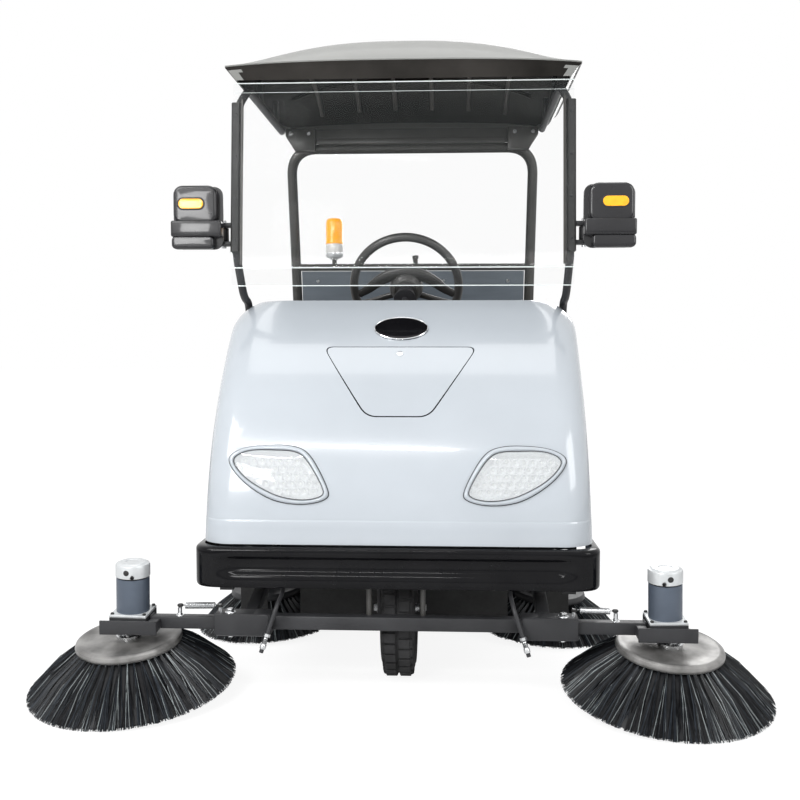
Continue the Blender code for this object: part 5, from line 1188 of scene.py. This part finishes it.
def make_roller():
    keep("roller_cover", FRAME)
    strips = [box((-0.3095 + 0.0688 * k, 0.2076, 0.0145), (-0.2422 + 0.0688 * k, 0.2093, 0.2995), 0.0006, 1)
        for k in range(9)]
    # Painted shade: the sheet across at y -0.2665 and the two at the sides are black rubber hung where the
    # machine's shaded underbody shows between the bumper and the cross tube.
    strips += [box((-0.335, -0.2665, 0.118), (0.335, -0.2635, 0.404), 0.0008, 1)]
    strips += [box((min(s * 0.44, s * 0.528), -0.2775, 0.13), (max(s * 0.44, s * 0.528), -0.2745, 0.439),
        0.0008, 1) for s in (1, -1)]
    piece("rubber_skirts_and_shade_sheets", "chassis", RUBBER, strips)
    place = frame_to(ROLLER, (1, 0, 0))
    drum = lathe([(0, -0.326), (0.106, -0.326), (0.108, -0.324), (0.108, 0.324), (0.106, 0.326), (0, 0.326)],
        ROLLER, (1, 0, 0), 48)
    shaft = use(rod((-0.3635, ROLLER.y, ROLLER.z), (0.3635, ROLLER.y, ROLLER.z), 0.0148), 3)
    hairs = bmesh.new()
    for row in range(9):
        for i in range(230):
            h = -0.322 + 0.644 * (i + RNG.random()) / 230
            swing = 1 if h < 0 else -1
            a = math.tau * row / 9 + swing * 1.2 * h + RNG.gauss(0, 0.045)
            lean = RNG.gauss(0, 0.03)
            rings = []
            for r, turn, thick in ((0.105, a, 0.0016), (RNG.uniform(0.1355, 0.1388), a + lean, 0.001)):
                here = Vector((r * math.cos(turn), r * math.sin(turn), h + lean * 0.04))
                side = Vector((-math.sin(turn), math.cos(turn), 0)) * thick
                rings.append([hairs.verts.new(place @ (here + p)) for p in (side, Vector((0, 0, thick)),
                    -side)])
            look = 1 if RNG.random() < 0.3 else 0
            for j in range(3):
                hairs.faces.new((rings[0][j], rings[0][(j + 1) % 3], rings[1][(j + 1) % 3],
                    rings[1][j])).material_index = look
            hairs.faces.new(rings[1]).material_index = look
    piece("roller_bristles", "main_roller_brush", [HAIR_DARK, HAIR_BLUE, HAIR_PALE, ZINC],
        [drum, hairs, shaft], "main_roller_brush")


# ---------------------------------------------------------------- rear body, bin, cover, seat
def make_rear():
    wall, pitch, arch_r = 0.006, 0.03, 0.2335
    body = box((-BODY_HALF, 0.16, 0.1), (BODY_HALF, REAR_Y, DECK_Z), 0.03, 8)
    inside = box((-BODY_HALF + wall, 0.16 + wall, 0.1), (BODY_HALF - wall, REAR_Y - wall, DECK_Z - wall),
        0.024, 6)
    cutters = [box((-1.0, -1.0, 0.0), (1.0, 1.5, 0.28), 0), inside,
        box((-0.44, REAR_Y - 0.05, 0.47), (0.44, REAR_Y + 0.05, 0.778), 0),
        rod((-1.0, REAR_AXLE_Y, WHEEL_R), (1.0, REAR_AXLE_Y, WHEEL_R), 0.236, 96, 0.0),
        box((-0.42, 0.64, DECK_Z - 0.05), (0.42, REAR_Y - 0.055, DECK_Z + 0.05), 0),
        box((-0.3, REAR_Y - 0.05, 0.1), (0.3, REAR_Y + 0.05, 0.33), 0),
        box((-0.395, 0.1, 0.0), (0.395, 0.2, 0.463), 0)]
    for s in (-1, 1):
        for k in range(6):
            low, high = sorted((s * (BODY_HALF - 0.0022), s * (BODY_HALF + 0.01)))
            cutters.append(box((low, 0.235, 0.52 + pitch * k), (high, 0.415, 0.532 + pitch * k), 0))
    piece("rear_shell", "chassis", BODY, [boolean(body, cutters)], "rear_body")
    trims = []
    for s in (-1, 1):
        arc = [(s * (BODY_HALF - 0.003), REAR_AXLE_Y + arch_r * math.cos(a),
            WHEEL_R + arch_r * math.sin(a)) for a in (math.radians(21 + 138 * i / 40) for i in range(41))]
        trims.append(sweep(arc, rect(0.006, 0.0055, 0.002), up=(1, 0, 0)))
        for k in range(6):
            low, high = sorted((s * (BODY_HALF - 0.003), s * (BODY_HALF - 0.0012)))
            trims.append(box((low, 0.236, 0.5205 + pitch * k), (high, 0.414, 0.5245 + pitch * k), 0.0004, 1))
    piece("arch_trim_and_louvres", "chassis", RUBBER, trims)

    face_y = REAR_Y + 0.0006
    skin_y = face_y + 0.0092
    face = box((-0.4548, face_y, 0.4622), (0.4548, skin_y, 0.7848), 0.0028, 3)
    panel = box((-0.4, face_y + 0.007, 0.5), (0.4, face_y + 0.0094, 0.745), 0.0022, 2)
    handle = use(tube([(-0.12, REAR_Y + 0.006, 0.66), (-0.12, REAR_Y + 0.036, 0.66),
        (0.12, REAR_Y + 0.036, 0.66), (0.12, REAR_Y + 0.006, 0.66)], 0.0068, 0.015, 18), 1)
    roses = [use(lathe([(0, 0.003), (0.012, 0.003), (0.014, 0.0)], (x, skin_y, 0.66), (0, 1, 0), 24), 1)
        for x in (-0.12, 0.12)]
    tray = boolean(box((-0.4298, 0.6402, 0.4742), (0.4298, REAR_Y - 0.002, 0.7598), 0.002, 1),
        [box((-0.425, 0.645, 0.479), (0.425, REAR_Y - 0.015, 0.9), 0)])
    screws = [use(bolt((x, skin_y, z), (0, 1, 0), 0.005), 1) for x in (-0.43, 0.43)
        for z in (0.485, 0.762)]
    piece("bin_tray", "dust_bin", [PLASTIC, ZINC], [tray, face, panel, handle, *roses, *screws], "dust_bin")

    top_z = 1.15
    outer = plate([(0.602, 0.7), (0.602, top_z), (0.8, top_z), (REAR_Y - 0.02, 1.04), (REAR_Y - 0.01, 0.7)],
        -0.5, 0.5, "X", 0)
    edges = [e for e in outer.edges if e.calc_face_angle(0.0) > math.radians(12)]
    bmesh.ops.bevel(outer, geom=edges, offset=0.02, segments=6, profile=0.5, affect="EDGES",
        clamp_overlap=True)
    inner = plate([(0.608, 0.65), (0.608, top_z - 0.006), (0.796, top_z - 0.006), (REAR_Y - 0.028, 1.036),
        (REAR_Y - 0.016, 0.65)], -0.494, 0.494, "X", 0)
    slots = [box((-0.3 + 0.105 * k, 0.66, top_z - 0.0022), (-0.225 + 0.105 * k, 0.775, top_z + 0.01), 0)
        for k in range(6)]
    shell = boolean(outer, [box((-0.6, 0.5, 0.6), (0.6, 1.1, DECK_Z + REST_GAP), 0), inner, *slots])
    slats = [use(box((-0.298 + 0.105 * k, 0.668 + 0.0165 * j, top_z - 0.003),
        (-0.227 + 0.105 * k, 0.674 + 0.0165 * j, top_z - 0.0004), 0.0006, 1), 1)
        for k in range(6) for j in range(7)]
    grip_y = REAR_Y - 0.0165
    grip = [use(box((-0.07, grip_y, 0.905), (0.07, grip_y + 0.004, 0.955), 0.0018, 2), 1),
        use(box((-0.055, grip_y + 0.003, 0.935), (0.055, grip_y + 0.014, 0.947), 0.003, 3), 1)]
    piece("filter_housing", "filter_cover", [BODY, PLASTIC], [shell, *slats, *grip], "filter_cover")

    for name, flip in SIDES:
        y = REAR_Y + 0.0004
        bezel = use(box((0.4622, y, 0.5602), (0.5178, y + 0.007, 0.6998), 0.003, 3), 1)
        lens = box((0.466, y + 0.004, 0.564), (0.514, y + 0.0172, 0.696), 0.005, 4)
        ribs = [box((0.468, y + 0.0168, 0.572 + 0.0115 * k), (0.512, y + 0.0176, 0.5755 + 0.0115 * k), 0.0003, 1)
            for k in range(10)]
        piece("tail_lens_" + name, "chassis", [RED, CHROME], [bezel, lens, *ribs], "tail_lamp_" + name,
            flip=flip)
    for node in ("chassis_frame", "floor_plate"):
        keep(node, FRAME)
    for node in ("battery_pack", "storage_tub"):
        keep(node, PLASTIC)
    mat_ribs = [box((-0.5, -0.185 + 0.018 * k, 0.4762), (0.5, -0.177 + 0.018 * k, 0.4785), 0.001, 1)
        for k in range(5)]
    mat_ribs += [box((-0.5, 0.012 + 0.018 * k, 0.4762), (0.5, 0.02 + 0.018 * k, 0.4785), 0.001, 1)
        for k in range(7)]
    piece("floor_mat_ribs", "chassis", RUBBER, mat_ribs)


def cushion(name, low, high, cap, crown, node):
    """A stuffed block: a rounded form blown up a little by a cloth run."""
    bm = box(low, high, 0.024, 6)
    bmesh.ops.subdivide_edges(bm, edges=[e for e in bm.edges if e.calc_length() > 0.05], cuts=10,
        use_grid_fill=True)
    centre = (Vector(low) + Vector(high)) / 2
    size = Vector(high) - Vector(low)
    obj = solid(bm, name)
    remesh = obj.modifiers.new("even", "REMESH")
    remesh.mode, remesh.voxel_size = "VOXEL", 0.006
    even = evaluated(obj)
    for vert in even.verts:
        off = vert.co - centre
        a, b, c = (off[i] / (size[i] / 2) for i in range(3))
        edge = max(abs(a), abs(b)) if crown == 2 else max(abs(a), abs(c))
        lift = cap * max(0.0, 1 - edge ** 2.4)
        if crown == 2 and c > 0.2:
            vert.co.z += lift - cap
        if crown == 1 and b < -0.2:
            vert.co.y -= lift - cap
    obj = solid(even, name)
    before = [v.co.copy() for v in obj.data.vertices]
    cloth = obj.modifiers.new("stuffing", "CLOTH")
    cloth.settings.quality = 5
    cloth.settings.use_pressure = True
    cloth.settings.uniform_pressure_force = 4.0
    cloth.settings.effector_weights.gravity = 0.0
    cloth.settings.tension_stiffness = 30
    cloth.point_cache.frame_start, cloth.point_cache.frame_end = 1, 20
    for step in range(1, 21):
        bpy.context.scene.frame_set(step)
    blown = evaluated(obj)
    blown.verts.ensure_lookup_table()
    for vert, old in zip(blown.verts, before):
        move = vert.co - old
        if move.length > 0.004:
            vert.co = old + move.normalized() * 0.004
        for i in range(3):
            vert.co[i] = min(max(vert.co[i], low[i] + 0.0004), high[i] - 0.0004)
    bpy.context.scene.frame_set(1)
    obj = solid(blown, name)
    bm = evaluated(obj)
    obj = piece(name, "seat", VINYL, [bm], node, angle=80)
    return obj


def make_seat():
    pan = box((-0.215, 0.08, DECK_Z + 0.012), (0.215, 0.452, DECK_Z + 0.024), 0.003)
    runners = [box((x - 0.018, 0.2, DECK_Z + REST_GAP), (x + 0.018, 0.42, DECK_Z + 0.014), 0.002)
        for x in (-0.15, 0.15)]
    back = plate([(0.44, DECK_Z + 0.018), (0.452, DECK_Z + 0.018), (0.452, 0.9), (0.432, 1.08), (0.424, 1.08),
        (0.44, 0.9)], -0.15, 0.15)
    handle = use(tube([(0.08, 0.11, DECK_Z + 0.018), (0.08, 0.055, DECK_Z + 0.008),
        (0.16, 0.045, DECK_Z + 0.008)], 0.0058, 0.02), 1)
    nuts = [use(bolt((x, 0.452, z), (0, 1, 0), 0.006), 1) for x in (-0.12, 0.12) for z in (0.84, 0.885)]
    piece("seat_frame", "seat", [FRAME, ZINC], [pan, *runners, back, handle, *nuts], "seat_slide")
    cushion("seat_pad", (-0.2345, 0.0605, DECK_Z + 0.0252), (0.2345, 0.4245, DECK_Z + 0.1245), 0.016, 2,
        "seat_cushion")
    cushion("back_pad", (-0.2245, 0.3555, 0.9405), (0.2245, 0.4215, 1.1445), 0.012, 1, "seat_backrest")
    seams = []
    loop = [(-0.205, 0.092), (0.205, 0.092), (0.205, 0.345), (-0.205, 0.345)]
    top = DECK_Z + 0.1195
    path = rounded([(x, y, top) for x, y in loop + loop[:1]], 0.03, 6)
    seams.append(sweep(path[:-1], circle(0.0022, 8), up=(0, 0, 1), closed=True))
    for x in (-0.1, 0.0, 0.1):
        seams.append(sweep([(x, 0.094 + 0.25 * i / 12, top + 0.0018) for i in range(13)], circle(0.0014, 6)))
    piece("seat_piping", "seat", THREAD, seams)


# ---------------------------------------------------------------- stage
CAMERA_AT, LENS, SENSOR = (0.15, -3.45, 1.005), 45.0, 36.0
CAMERA_DOWN, CAMERA_TURN = 3.43, 2.9              # degrees below level, and round to the left
FLOOR_GLOW, FLOOR_WHITE = 1.24, 0.72              # strength of the plain white, and its share for the camera


def make_stage():
    white = bpy.data.materials.new("floor_white")
    white.use_nodes = True
    tree = white.node_tree
    tree.nodes.clear()
    new, link = tree.nodes.new, tree.links.new
    out, mix, path = new("ShaderNodeOutputMaterial"), new("ShaderNodeMixShader"), new("ShaderNodeLightPath")
    matt, glow, both = new("ShaderNodeBsdfDiffuse"), new("ShaderNodeEmission"), new("ShaderNodeMath")
    matt.inputs["Color"].default_value = (0.82, 0.82, 0.82, 1)
    glow.inputs["Color"].default_value = (1, 1, 1, 1)
    glow.inputs["Strength"].default_value = FLOOR_GLOW
    both.operation = "MULTIPLY"
    both.inputs[1].default_value = FLOOR_WHITE
    link(path.outputs["Is Camera Ray"], both.inputs[0])
    link(both.outputs[0], mix.inputs["Fac"])
    link(matt.outputs[0], mix.inputs[1])
    link(glow.outputs[0], mix.inputs[2])
    link(mix.outputs[0], out.inputs["Surface"])
    bm = bmesh.new()
    bmesh.ops.create_grid(bm, x_segments=1, y_segments=1, size=30)
    mesh = bpy.data.meshes.new("floor")
    bm.to_mesh(mesh)
    bm.free()
    mesh.materials.append(white)
    floor = bpy.data.objects.new("floor", mesh)
    bpy.context.scene.collection.objects.link(floor)

    world = bpy.data.worlds.new("studio")
    bpy.context.scene.world = world
    world.use_nodes = True
    tree = world.node_tree
    new, link = tree.nodes.new, tree.links.new
    back = tree.nodes["Background"]
    back.inputs["Color"].default_value = (1, 1, 1, 1)
    path = new("ShaderNodeLightPath")
    first, second = new("ShaderNodeMath"), new("ShaderNodeMath")
    for math_node in (first, second):
        math_node.operation = "MAXIMUM"
    ramp = new("ShaderNodeMapRange")
    ramp.inputs["To Min"].default_value = 0.5
    ramp.inputs["To Max"].default_value = 1.0
    link(path.outputs["Is Camera Ray"], first.inputs[0])
    link(path.outputs["Is Glossy Ray"], first.inputs[1])
    link(first.outputs[0], second.inputs[0])
    link(path.outputs["Is Transmission Ray"], second.inputs[1])
    link(second.outputs[0], ramp.inputs["Value"])
    link(ramp.outputs["Result"], back.inputs["Strength"])

    def lamp(name, place, aim, size, power):
        data = bpy.data.lights.new(name, "AREA")
        data.shape, data.size, data.size_y, data.energy = "RECTANGLE", size[0], size[1], power
        obj = bpy.data.objects.new(name, data)
        obj.location = place
        obj.rotation_euler = (Vector(aim) - Vector(place)).to_track_quat("-Z", "Y").to_euler()
        obj.visible_camera = False
        bpy.context.scene.collection.objects.link(obj)

    lamp("key", (-2.6, -3.4, 3.6), (0, -0.2, 0.8), (1.8, 1.8), 85)
    lamp("fill", (3.2, -2.8, 2.4), (0, 0, 0.8), (1.6, 2.0), 45)
    lamp("top", (0.0, 0.2, 4.4), (0, 0, 0.5), (2.6, 2.6), 40)
    lamp("back", (1.2, 3.6, 2.8), (0, 0, 0.9), (2.0, 1.6), 45)
    lamp("left_panel", (-1.45, -3.6, 1.78), (-0.3, -0.4, 1.2), (1.0, 0.9), 36)
    lamp("strip", (-0.7, -3.2, 2.9), (-0.2, -0.75, 0.38), (1.8, 0.08), 20)
    scene = bpy.context.scene
    scene.view_settings.view_transform = "Standard"
    camera = bpy.data.cameras.new("camera")
    camera.lens, camera.sensor_width = LENS, SENSOR
    view = bpy.data.objects.new("camera", camera)
    view.location = CAMERA_AT
    view.rotation_euler = (math.radians(90 - CAMERA_DOWN), 0.0, math.radians(CAMERA_TURN))
    scene.collection.objects.link(view)
    scene.camera = view


make_stage()
make_front()
make_bumper()
make_cab()
make_roof()
make_console()
make_steering()
make_wheels()
make_brushes()
make_brush_frame()
make_roller()
make_rear()
make_seat()
